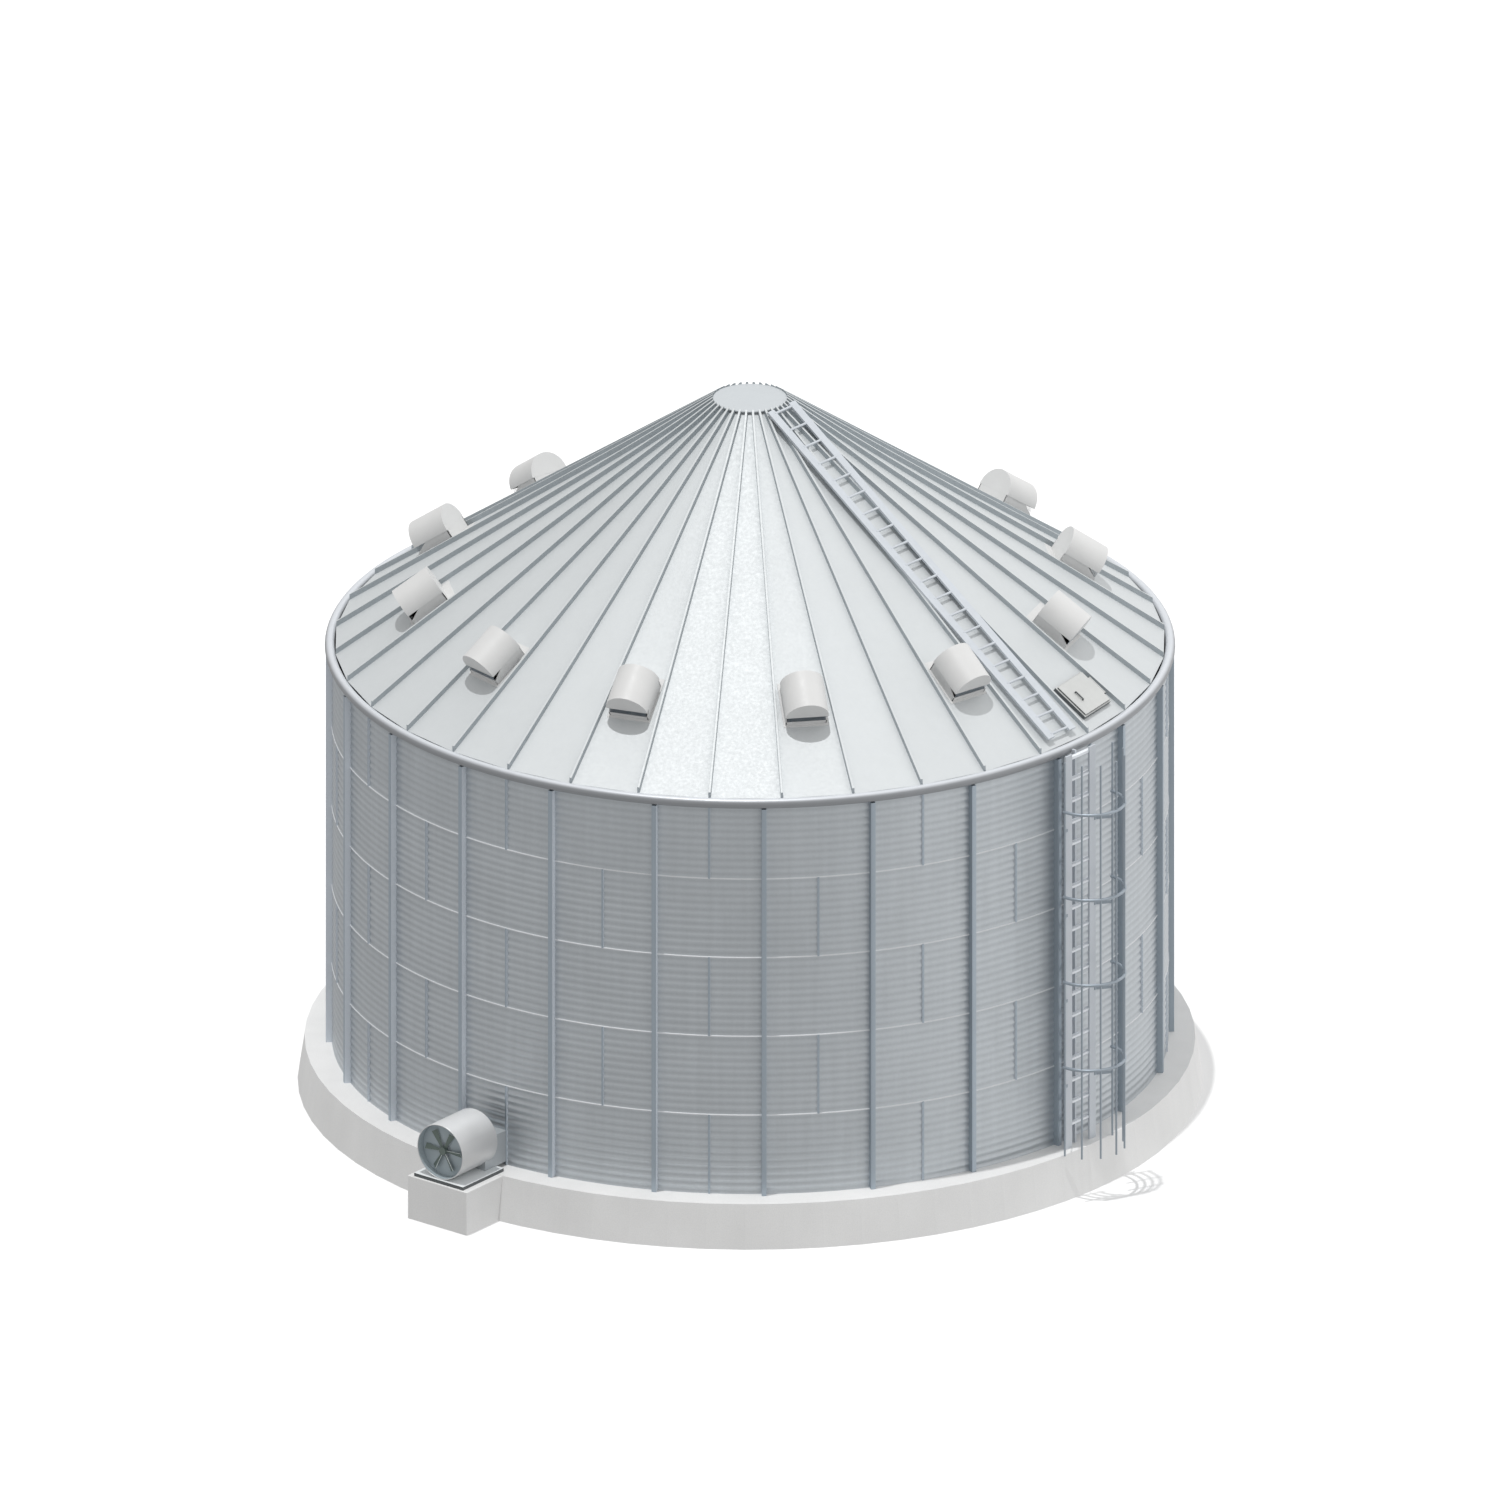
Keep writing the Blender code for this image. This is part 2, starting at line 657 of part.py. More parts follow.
def build_hatch_lid(materials):
    """The lid, with its origin on the hinge pin, its hinge barrel and its handle."""
    place = on_panel(HATCH_BEARING, HATCH_OUT, SEAT)
    hinge = place @ Matrix.Translation((HATCH_HINGE_SIDE, 0, hinge_height()))
    half_x, half_y, thickness = HATCH_LID[0] / 2, HATCH_LID[1] / 2, HATCH_LID[2]
    low, high = -thickness / 2, thickness / 2
    left, right = -half_x - HATCH_HINGE_SIDE, half_x - HATCH_HINGE_SIDE
    lid = add_object(
        "hatch_lid",
        boxes(((left, -half_y, low), (right, half_y, high))),
        materials["galvanised_frame"],
        hinge,
    )
    barrel = HINGE_BARREL_LENGTH / 2
    leaf = ((right - HINGE_LEAF_LAP, -barrel, -HINGE_LEAF), (-HINGE_BARREL_BORE, barrel, HINGE_LEAF))
    combine(lid, boxes(leaf), "UNION", hinge)
    tube = ((0, -barrel, 0), (0, barrel, 0))
    combine(lid, rods(HINGE_BARREL_RADIUS, HINGE_SIDES, tube), "UNION", hinge)
    over = barrel + HINGE_LUG
    bore = ((0, -over, 0), (0, over, 0))
    combine(lid, rods(HINGE_BARREL_BORE, HINGE_BORE_SIDES, bore), "DIFFERENCE", hinge)
    grip_x = HANDLE_SIDE - HATCH_HINGE_SIDE
    bar, length = HANDLE_BAR / 2, HANDLE_LENGTH / 2
    grip = ((grip_x - bar, -length, 0), (grip_x + bar, length, high + HANDLE_RISE))
    combine(lid, boxes(grip), "UNION", hinge)
    gap_low, gap_high = (high + height for height in HANDLE_GAP)
    gap = (
        (grip_x - HANDLE_BAR, -length + HANDLE_BAR, gap_low),
        (grip_x + HANDLE_BAR, length - HANDLE_BAR, gap_high),
    )
    combine(lid, boxes(gap), "DIFFERENCE", hinge)


def build_roof_ladder(materials):
    """Two flat rails and their rungs, lying on the ribs on either side."""
    middle_out = (ROOF_LADDER_TOP_OUT + ROOF_LADDER_FOOT_OUT) / 2
    half = (ROOF_LADDER_FOOT_OUT - ROOF_LADDER_TOP_OUT) / 2 / math.cos(ROOF_PITCH)
    place = on_panel(LADDER_BEARING, middle_out, rib_top_lift() + SEAT)
    rails = [
        ((side - width, -half, 0), (side, half, ROOF_RAIL_THICKNESS))
        for side, width in (
            (-ROOF_RAIL_INNER, ROOF_RAIL_OUTER - ROOF_RAIL_INNER),
            (ROOF_RAIL_OUTER, ROOF_RAIL_OUTER - ROOF_RAIL_INNER),
        )
    ]
    ladder = add_object("roof_ladder", boxes(*rails), materials["galvanised_frame"], place)
    count = int((2 * half - RUNG_HEIGHT) / RUNG_STEP)
    first = -count * RUNG_STEP / 2
    reach = ROOF_RAIL_INNER + ROOF_RUNG_SUNK
    low, high = ROOF_RUNG_INSET, ROOF_RAIL_THICKNESS - ROOF_RUNG_INSET
    rungs = [
        (
            (-reach, first + k * RUNG_STEP - RUNG_HEIGHT / 2, low),
            (reach, first + k * RUNG_STEP + RUNG_HEIGHT / 2, high),
        )
        for k in range(count + 1)
    ]
    combine(ladder, boxes(*rungs), "UNION", place)


def build_side_ladder(materials):
    """Two flat rails with rungs behind them, held off the wall by one upright spine."""
    place = turned_to(LADDER_BEARING, GROUND_TO_FLOOR)
    outer = -SIDE_LADDER_OUT - RAIL_THICKNESS
    spine = (SPINE_SIDE - SPINE_WIDTH / 2, SPINE_SIDE + SPINE_WIDTH / 2)
    uprights = [
        ((-RAIL_OUTER, outer, SEAT), (-RAIL_INNER, -SIDE_LADDER_OUT, SIDE_LADDER_TOP)),
        ((RAIL_INNER, outer, SEAT), (RAIL_OUTER, -SIDE_LADDER_OUT, SIDE_LADDER_TOP)),
        ((spine[0], -SPINE_OUT, SEAT), (spine[1], -SPINE_FLANGE_IN, SIDE_LADDER_TOP)),
    ]
    ladder = add_object("side_ladder", boxes(*uprights), materials["galvanised_frame"], place)
    reach = RAIL_INNER + RUNG_LAP
    rungs = []
    for k in range(SIDE_RUNGS):
        up = SIDE_RUNG_FIRST + k * RUNG_STEP
        rungs.append((
            (-reach, -SIDE_LADDER_OUT - RUNG_SUNK, up - RUNG_HEIGHT / 2),
            (reach, -SIDE_LADDER_OUT + RUNG_DEPTH, up + RUNG_HEIGHT / 2),
        ))
    combine(ladder, boxes(*rungs), "UNION", place)
    web = (
        (spine[0] + SPINE_WEB_INSET, -SPINE_FLANGE_IN - SPINE_WEB_LAP, SEAT),
        (spine[1] - SPINE_WEB_INSET, -WALL_RADIUS - SEAT, SPINE_TOP),
    )
    combine(ladder, boxes(web), "UNION", place)


def cage_point(angle, out_from_middle=CAGE_RADIUS):
    """A point of the cage's half circle: 0 at its left end, 180 at its right end."""
    turn = math.radians(angle)
    return (-out_from_middle * math.cos(turn), -CAGE_OUT - out_from_middle * math.sin(turn))


def cage_levels():
    return [CAGE_HOOP_FIRST + k * CAGE_HOOP_STEP for k in range(CAGE_HOOPS)]


def cage_bars(radius, low, high):
    """The upright bars round the cage, one mesh each."""
    meshes = []
    for angle in evenly(0, 180, 180 / (CAGE_BARS - 1)):
        x, y = cage_point(angle)
        meshes.append(rods(radius, CAGE_TUBE_SIDES, ((x, y, low), (x, y, high))))
    return meshes


def hoop_mesh(up):
    """One half-round hoop of tube with flat ends, which reach just past the outer bars."""
    angles = [-CAGE_HOOP_END, *evenly(0, 180, CAGE_HOOP_FACET), 180 + CAGE_HOOP_END]
    shape = bmesh.new()
    loops = []
    for angle in angles:
        loop = []
        for i in range(CAGE_TUBE_SIDES):
            turn = 2 * math.pi * (i + 0.5) / CAGE_TUBE_SIDES
            x, y = cage_point(angle, CAGE_RADIUS + CAGE_HOOP_TUBE * math.cos(turn))
            loop.append(shape.verts.new((x, y, up + CAGE_HOOP_TUBE * math.sin(turn))))
        loops.append(loop)
    for first, second in zip(loops, loops[1:]):
        join_loops(shape, first, second)
    shape.faces.new(loops[0])
    shape.faces.new(loops[-1])
    return mesh_from(shape)


def build_cage(materials):
    """Half-round hoops threaded on seven upright bars, the outer two stayed to the rails."""
    place = turned_to(LADDER_BEARING, GROUND_TO_FLOOR)
    steel = materials["galvanised_frame"]
    for number, up in enumerate(cage_levels(), 1):
        hoop = add_object(f"cage_hoop_{number}", hoop_mesh(up), steel, place)
        low, high = up - 2 * CAGE_HOOP_TUBE, up + 2 * CAGE_HOOP_TUBE
        for hole in cage_bars(CAGE_BAR_TUBE + 2 * SEAT, low, high):
            combine(hoop, hole, "DIFFERENCE", place)
    for number, mesh in enumerate(cage_bars(CAGE_BAR_TUBE, SEAT, CAGE_TOP), 1):
        bar = add_object(f"cage_bar_{number}", mesh, steel, place)
        if number in (1, CAGE_BARS):
            add_stays(bar, place, -1 if number == 1 else 1)


def add_stays(bar, place, sign):
    """The straps from an outer bar to its rail: sign is -1 at the left bar, 1 at the right."""
    thickness, height = CAGE_STAY
    face = SIDE_LADDER_OUT + RAIL_THICKNESS + SEAT
    top = (sign * CAGE_RADIUS, -CAGE_OUT)
    foot = (sign * (RAIL_OUTER - CAGE_STAY_TAB), -face)
    for up in cage_levels():
        middle = up - CAGE_STAY_DROP
        stay = stay_mesh(top, foot, thickness, middle - height / 2, middle + height / 2)
        combine(bar, stay, "UNION", place)


def stay_mesh(bar, foot, thickness, low, high):
    """A flat strap from a cage bar to a rail, with a short tab lying flat against the rail."""
    sign = 1 if bar[0] > 0 else -1
    corner = (foot[0] + sign * CAGE_STAY_TAB, foot[1])
    outline = [
        (foot[0], foot[1]),
        (foot[0], foot[1] - thickness),
        (corner[0], corner[1] - thickness),
        (bar[0], bar[1] - thickness / 2),
        (bar[0], bar[1] + thickness / 2),
        (corner[0] + sign * thickness / 2, corner[1]),
    ]
    return prism(outline, low, high)


def build_plinth(materials):
    """The concrete block the fan stands on, its back cut to the foundation's face."""
    over = PLINTH_OVERLAP
    low = (-PLINTH_HALF, -PLINTH_FACE_OUT, 0)
    high = (PLINTH_HALF, -FOUNDATION_TOP_RADIUS + over, GROUND_TO_FLOOR)
    plinth = add_object(
        "fan_plinth", boxes((low, high)), materials["concrete"], turned_to(FAN_BEARING)
    )
    slope = (FOUNDATION_FOOT_RADIUS - FOUNDATION_TOP_RADIUS) / GROUND_TO_FLOOR
    rings = (
        (FOUNDATION_FOOT_RADIUS + over * slope, -over),
        (FOUNDATION_TOP_RADIUS - over * slope, GROUND_TO_FLOOR + over),
    )
    combine(plinth, frustum(rings, grow=2 * SEAT), "DIFFERENCE")


def build_fan_base(materials):
    up = GROUND_TO_FLOOR + SEAT
    low = (-BASE_HALF, -BASE_OUT[1], up)
    high = (BASE_HALF, -BASE_OUT[0], up + BASE_THICKNESS)
    add_object(
        "fan_base_plate", boxes((low, high)), materials["galvanised_frame"], turned_to(FAN_BEARING)
    )


def fan_frame(out=0.0):
    """The frame on the fan's axis: +Z points out of the fan's mouth and +Y points up."""
    lie_down = Matrix.Rotation(math.radians(90), 4, "X")
    return turned_to(FAN_BEARING, FAN_AXIS_UP) @ Matrix.Translation((0, -out, 0)) @ lie_down


def drum_rod(radius, start, end, sides=DRUM_SIDES):
    """A round rod along the fan's axis."""
    return rods(radius, sides, ((0, 0, start), (0, 0, end)))


def build_fan_housing(materials):
    """The drum, open at its mouth, with the outlet cut through its back into the duct."""
    back, mouth = DRUM_OUT
    over = DRUM_CUT_REACH
    frame = fan_frame()
    housing = add_object(
        "fan_housing", drum_rod(DRUM_RADIUS, back, mouth), materials["white_painted_steel"], frame
    )
    bore = drum_rod(DRUM_RADIUS - DRUM_SHEET, back + DRUM_SHEET, mouth + over)
    combine(housing, bore, "DIFFERENCE", frame)
    half, low, high = DRUM_OUTLET
    axis_up = FAN_AXIS_UP - GROUND_TO_FLOOR
    outlet = ((-half, low - axis_up, back - over), (half, high - axis_up, back + over))
    combine(housing, boxes(outlet), "DIFFERENCE", frame)


def build_fan_duct(materials):
    """The box duct between the drum and the wall, its front cut to the drum's curve."""
    frame = turned_to(FAN_BEARING, GROUND_TO_FLOOR)
    low, high = DUCT_UP
    duct = add_object(
        "fan_duct",
        boxes(((-DUCT_HALF, -DUCT_FACE_OUT, low), (DUCT_HALF, -WALL_RADIUS + DUCT_INTO_WALL, high))),
        materials["white_painted_steel"],
        frame,
    )
    half = DUCT_HALF - DUCT_SHEET
    hollow = (
        (-half, -DUCT_FACE_OUT + DUCT_SHEET, low + DUCT_SHEET),
        (half, -WALL_RADIUS + DUCT_CUT_INWARDS, high - DUCT_SHEET),
    )
    combine(duct, boxes(hollow), "DIFFERENCE", frame)
    drum = drum_rod(DRUM_RADIUS + 2 * SEAT, DRUM_OUT[0] - SEAT, DRUM_OUT[1])
    combine(duct, drum, "DIFFERENCE", fan_frame())
    wall = frustum(((WALL_RADIUS, 0), (WALL_RADIUS, EAVE_TUBE_UP)), grow=2 * SEAT)
    combine(duct, wall, "DIFFERENCE")


def build_motor(materials):
    """The motor on the fan's axis, held by arms that reach the drum."""
    back, front = MOTOR_BACK_OUT, ROTOR_OUT[0] - SEAT
    frame = fan_frame()
    motor = add_object(
        "fan_motor", drum_rod(MOTOR_RADIUS, back, front, MOTOR_SIDES), materials["dark_fan"], frame
    )
    inside = (DRUM_RADIUS - DRUM_SHEET) * math.cos(math.pi / DRUM_SIDES) - SEAT
    half = MOTOR_ARM_WIDTH / 2
    reach = math.sqrt(inside ** 2 - half ** 2)
    low, high = (back + depth for depth in MOTOR_ARM_FROM_BACK)
    for k in range(MOTOR_ARMS // 2):
        pair = boxes(((-half, -reach, low), (half, reach, high)))
        angle = MOTOR_ARM_FIRST + 360 / MOTOR_ARMS * k
        turn = Matrix.Rotation(math.radians(angle), 4, "Z")
        combine(motor, pair, "UNION", frame @ turn)


def blade_mesh():
    """A flat blade, narrow at its root and wide at its tip, along +X."""
    shape = bmesh.new()
    half = BLADE_THICKNESS / 2
    loops = []
    for reach, width in zip((BLADE_ROOT, BLADE_TIP), BLADE_WIDTHS):
        corners = ((-width / 2, -half), (width / 2, -half), (width / 2, half), (-width / 2, half))
        loops.append([shape.verts.new((reach, y, z)) for y, z in corners])
    join_loops(shape, loops[0], loops[1])
    shape.faces.new(loops[0])
    shape.faces.new(loops[1])
    bmesh.ops.transform(shape, matrix=Matrix.Rotation(BLADE_PITCH, 4, "X"), verts=shape.verts)
    return mesh_from(shape)


def build_rotor(materials):
    """The hub and its blades, with the origin on the fan's axis."""
    depth = ROTOR_OUT[1] - ROTOR_OUT[0]
    frame = fan_frame(ROTOR_OUT[0])
    rotor = add_object(
        "fan_rotor", drum_rod(HUB_RADIUS, 0, depth, MOTOR_SIDES), materials["dark_fan"], frame
    )
    for k in range(BLADES):
        turn = Matrix.Rotation(2 * math.pi * k / BLADES, 4, "Z")
        combine(rotor, blade_mesh(), "UNION", frame @ Matrix.Translation((0, 0, depth / 2)) @ turn)


def shade_round_pieces():
    for item in bpy.data.objects:
        if item.type == "MESH":
            item.data.shade_smooth()
            item.data.set_sharp_from_angle(angle=math.radians(SHARP_ANGLE))


def main():
    clear_scene()
    materials = {name: make_material(name) for name in COLOURS}
    build_foundation(materials)
    build_plinth(materials)
    build_wall(materials)
    build_eave(materials)
    build_roof(materials)
    build_cap(materials)
    build_vents(materials)
    build_hatch_frame(materials)
    build_hatch_lid(materials)
    build_roof_ladder(materials)
    build_side_ladder(materials)
    build_cage(materials)
    build_fan_base(materials)
    build_fan_housing(materials)
    build_fan_duct(materials)
    build_motor(materials)
    build_rotor(materials)
    shade_round_pieces()


main()
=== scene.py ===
"""The looks of the grain silo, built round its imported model.

Units are metres and +Z is up. A place round the silo is given by its bearing, in degrees
from -Y towards +X. In a frame turned to a bearing, +X points to the side, -Y points out
from the silo and +Z points up.
"""

import math

import bmesh
import bpy
from mathutils import Matrix, Vector


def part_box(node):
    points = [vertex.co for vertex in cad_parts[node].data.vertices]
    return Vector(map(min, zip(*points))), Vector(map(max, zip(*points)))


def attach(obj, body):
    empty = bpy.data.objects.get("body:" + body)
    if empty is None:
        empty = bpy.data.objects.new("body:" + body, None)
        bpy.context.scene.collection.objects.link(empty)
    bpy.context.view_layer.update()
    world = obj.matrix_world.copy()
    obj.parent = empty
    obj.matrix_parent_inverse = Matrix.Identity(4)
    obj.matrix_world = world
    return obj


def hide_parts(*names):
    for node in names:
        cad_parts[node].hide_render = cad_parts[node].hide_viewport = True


# Wall sheets: eleven corrugations to a ring
FLOOR_UP = 0.61
CORRUGATION_PITCH = 0.1016
CORRUGATION_DEPTH = 0.0127
CORRUGATIONS_PER_RING = 11
RING_HEIGHT = CORRUGATION_PITCH * CORRUGATIONS_PER_RING
RINGS = 5
WALL_RADIUS = 5.50
SHEET_THICKNESS = 0.002
STEPS_PER_CORRUGATION = 8
BEARING_STEP = 2.5
SHEETS_PER_RING = 12
SEAM_WIDTH = 0.026
SEAM_PROUD = 0.014
SEAM_EDGE = 0.0012
SEAM_SUNK = 0.001
LAP_HALF_HEIGHT = 0.010
LAP_PROUD = 0.006
LAP_SUNK = 0.001
LAP_DEPTH = 0.005
LAP_STEPS = 9

# Stiffeners
STIFFENERS = 24
STIFFENER_FIRST = 7.5
STIFFENER_WIDTH = 0.0625
STIFFENER_REACH = 5.576
STIFFENER_CORNER = 0.0015
CORNER_STEPS = 5

# Bolt heads
BOLT_RADIUS = 0.0075
BOLT_HEIGHT = 0.0035
BOLT_SUNK = 0.001
BOLT_SIDES = 6
BOLT_SHOULDER = 0.6
BOLT_CROWN = 0.7
LAP_BOLT_STEP = 3.0

# Eave tube and roof
EAVE_TUBE_OUT = 5.52
EAVE_TUBE_RADIUS = 0.0675
EAVE_TUBE_UP = FLOOR_UP + 5.55
EAVE_TUBE_SIDES = 28
EAVE_CONTACT = math.radians(30)
ROOF_PITCH = math.radians(34.55)
RIB_STEP = 10
ROOF_SHEET = 0.008
ROOF_TOP_OUT = 0.44
RIB_WIDTH = 0.03
RIB_HEIGHT = 0.065
RIB_SUNK = 0.0048
RIB_TOP_OUT = 0.489
RIB_SETBACK = 0.002
RIB_EDGE = 0.003
SEAT = 0.0003
CAP_RADIUS = 0.488
CAP_THICKNESS = 0.020
CAP_EDGE = 0.003
CAP_SIDES = 72
COLLAR = (0.4097, 0.4397)
ROOF_CUT_REACH = 0.1

# Roof vents
VENTS = 12
VENT_FIRST = 15
VENT_OUT = 4.279
VENT_FLANGE_HALF = 0.30
VENT_FLANGE_ALONG = (-0.3125, 0.3825)
VENT_FLANGE_SHEET = 0.006
VENT_FLANGE_EDGE = 0.002
VENT_CURB = (0.548, 0.551)
VENT_CURB_HEIGHT = 0.165
VENT_CURB_SHEET = 0.015
VENT_CURB_TUCK = 0.05
VENT_FRONT_HEIGHT = 0.0705
VENT_MOUTH_DEPTH = 0.17
VENT_HOOD_WIDTH = 0.575
VENT_HOOD_LENGTH = 0.555
VENT_HOOD_RISE = 0.285
VENT_HOOD_SHEET = 0.006
VENT_HOOD_SIDES = 32
VENT_FRONT_SHEET = 0.004
SCREEN_STEP = 0.014
SCREEN_WIRE = 0.0013
SCREEN_TUCK = 0.005

# Roof hatch
HATCH_BEARING = 65
HATCH_OUT = 5.055
HATCH_CURB = (0.66, 0.56)
HATCH_CURB_HEIGHT = 0.055
HATCH_CURB_SHEET = 0.03
HATCH_CURB_EDGE = 0.003
HATCH_LID = (0.62, 0.52, 0.02)
HATCH_LID_EDGE = 0.004
LID_CLEARANCE = 0.005
HATCH_HINGE_SIDE = 0.346
HINGE_BARREL_RADIUS = 0.012
HINGE_BARREL_LENGTH = 0.30
HINGE_SIDES = 16
HINGE_LEAF = 0.004
HINGE_LEAF_LAP = 0.02
HINGE_LUG = 0.010
HINGE_LUG_LAP = 0.004
HINGE_LUG_FOOT = 0.03
HANDLE_LENGTH = 0.154
HANDLE_SIDE = -0.138
HANDLE_BAR = 0.016
HANDLE_RISE = 0.028
HANDLE_THICKNESS = 0.012
HANDLE_FOOT_SUNK = 0.001

# Roof ladder
ROOF_LADDER_TOP_OUT = 0.49
ROOF_LADDER_FOOT_OUT = 5.35
ROOF_RAIL_INNER = 0.150
ROOF_RAIL_OUTER = 0.275
ROOF_RAIL_THICKNESS = 0.030
ROOF_RAIL_EDGE = 0.002
ROOF_RUNG_RADIUS = 0.0175
ROOF_RUNG_LAP = 0.03
ROOF_RUNG_PROUD = 0.004
ROOF_RUNG_SIDES = 16
RUNG_STEP = 0.3048
RUNG_HEIGHT = 0.035

# Side ladder's rungs
SIDE_RUNGS = 18
SIDE_RUNG_FIRST = 0.32
SIDE_RUNG_HEIGHT = 0.035
SIDE_RUNG_OUT = (5.655, 5.712)
SIDE_RUNG_REACH = 0.2256
SIDE_RUNG_SKIN = 0.0006
SIDE_RUNG_EDGE = 0.005

# Safety cage
LADDER_BEARING = 55
CAGE_OUT = 5.86
CAGE_RADIUS = 0.48
CAGE_HOOPS = 4
CAGE_HOOP_FIRST = 1.255
CAGE_HOOP_STEP = 1.208
CAGE_HOOP_TUBE = 0.021
CAGE_HOOP_END = 2.5
CAGE_HOOP_SIDES = 14
CAGE_HOOP_STEPS = 39
CAGE_BARS = 7
CAGE_BAR_TUBE = 0.0135
CAGE_TOP = 5.578
CAGE_STAY_DROP = 0.355
CAGE_STAY = (0.008, 0.040)
CAGE_STAY_LAP = 0.03
RAIL_FACE = 5.7268
RAIL_OUTER = 0.3025

# Aeration fan
FAN_BEARING = -33
DRUM_RADIUS = 0.382
DRUM_SHEET = 0.012
DRUM_OUT = (5.79, 6.53)
DRUM_SIDES = 72
DRUM_BACK_HOLE = 0.30
DRUM_BEAD = 0.006
DRUM_BEAD_START = 0.004
DRUM_BEAD_STEPS = 7
DRUM_CORNER = 0.012
FAN_AXIS_UP = 1.0426
INLET_HALF = 0.28
INLET_MARGIN = 0.012
INLET_REACH = 0.1
BASE_HALF = 0.41
BASE_OUT = (5.70, 6.56)
BASE_THICKNESS = 0.05
BASE_EDGE = 0.003
PLINTH_EDGE = 0.010
PLINTH_EDGE_STEPS = 3
PLINTH_EDGE_ANGLE = math.radians(40)
PLINTH_WELD = 0.00005
ROTOR_OUT = (6.42, 6.49)
HUB_RADIUS = 0.055
HUB_EDGE = 0.006
HUB_SIDES = 32
BLADES = 6
BLADE_TIP = 0.295
BLADE_ROOT = 0.040
BLADE_WIDTHS = (0.026, 0.085)
BLADE_THICKNESS = 0.008
BLADE_PITCH = math.radians(32)
DISC_HOLE = 0.10
DISC_CLEARANCE = 0.002
DISC_THICKNESS = 0.004

# Camera and light, matched to the photograph
VIEW_AZIMUTH = math.radians(5.6)
VIEW_ELEVATION = math.radians(22.2)
PHOTO_PIXELS = 1500
PIXELS_PER_METRE = 76.11
AIM_UP = 4.668
CAMERA_BACK = 60.0
CAMERA_REACH = 300.0
SUN_HEADING = (0.102, 0.054, -1.206)
SUN_STRENGTH = 1.50
SUN_ANGLE = math.radians(0.7)
SKY_HEADING = (0.94, 0.342, 0)
SKY_STOPS = (
    (0.38, 0.515), (0.45, 0.53), (0.52, 0.575), (0.65, 0.72), (0.77, 0.84), (0.87, 0.875), (1.0, 0.93),
)
SKY_LIFT = (1.0, 1.3)
SKY_LIFT_SPAN = (0.1, 0.9)
WHITE = (1, 1, 1)
FLOOR_RADIUS = 120.0
FLOOR_ROUGHNESS = 0.95
# The floor's tones from left to right: the darker one is painted shade
FLOOR_SHADE_TONES = (0.93, 0.83)
FLOOR_SPAN = (2.0, 6.0)
FLOOR_GLOW = 0.06

# Shading: angles are in degrees
SHARP_ANGLE = 35
WALL_SHARP_ANGLE = 50
ROOF_SHARP_ANGLE = 3
UPRIGHT_LIMIT = 0.4
FLANK_SLACK = 0.0001
NOISE_SPAN = (0.3, 0.7)
FLAKE_SIZE = 0.018
ZINC_ROUGH = 0.05
PAINT_ROUGH = 0.06
# Normal heights over which the painted underside shade fades out
UNDERSIDE_SHADE_SPAN = (0.45, 0.95)


def at_bearing(bearing, out, up=0.0, side=0.0):
    angle = math.radians(bearing)
    return Vector((
        out * math.sin(angle) + side * math.cos(angle),
        side * math.sin(angle) - out * math.cos(angle),
        up,
    ))


def turned_to(bearing, up=0.0):
    return Matrix.Translation((0, 0, up)) @ Matrix.Rotation(math.radians(bearing), 4, "Z")


def evenly(start, end, count):
    return [start + (end - start) * i / (count - 1) for i in range(count)]


def circle(radius, z, sides):
    """A loop round the Z axis."""
    turns = (2 * math.pi * i / sides for i in range(sides))
    return [(radius * math.cos(turn), radius * math.sin(turn), z) for turn in turns]


def rectangle(x, low, high, z):
    """A loop from -x to x and from low to high along Y."""
    return [(-x, low, z), (x, low, z), (x, high, z), (-x, high, z)]


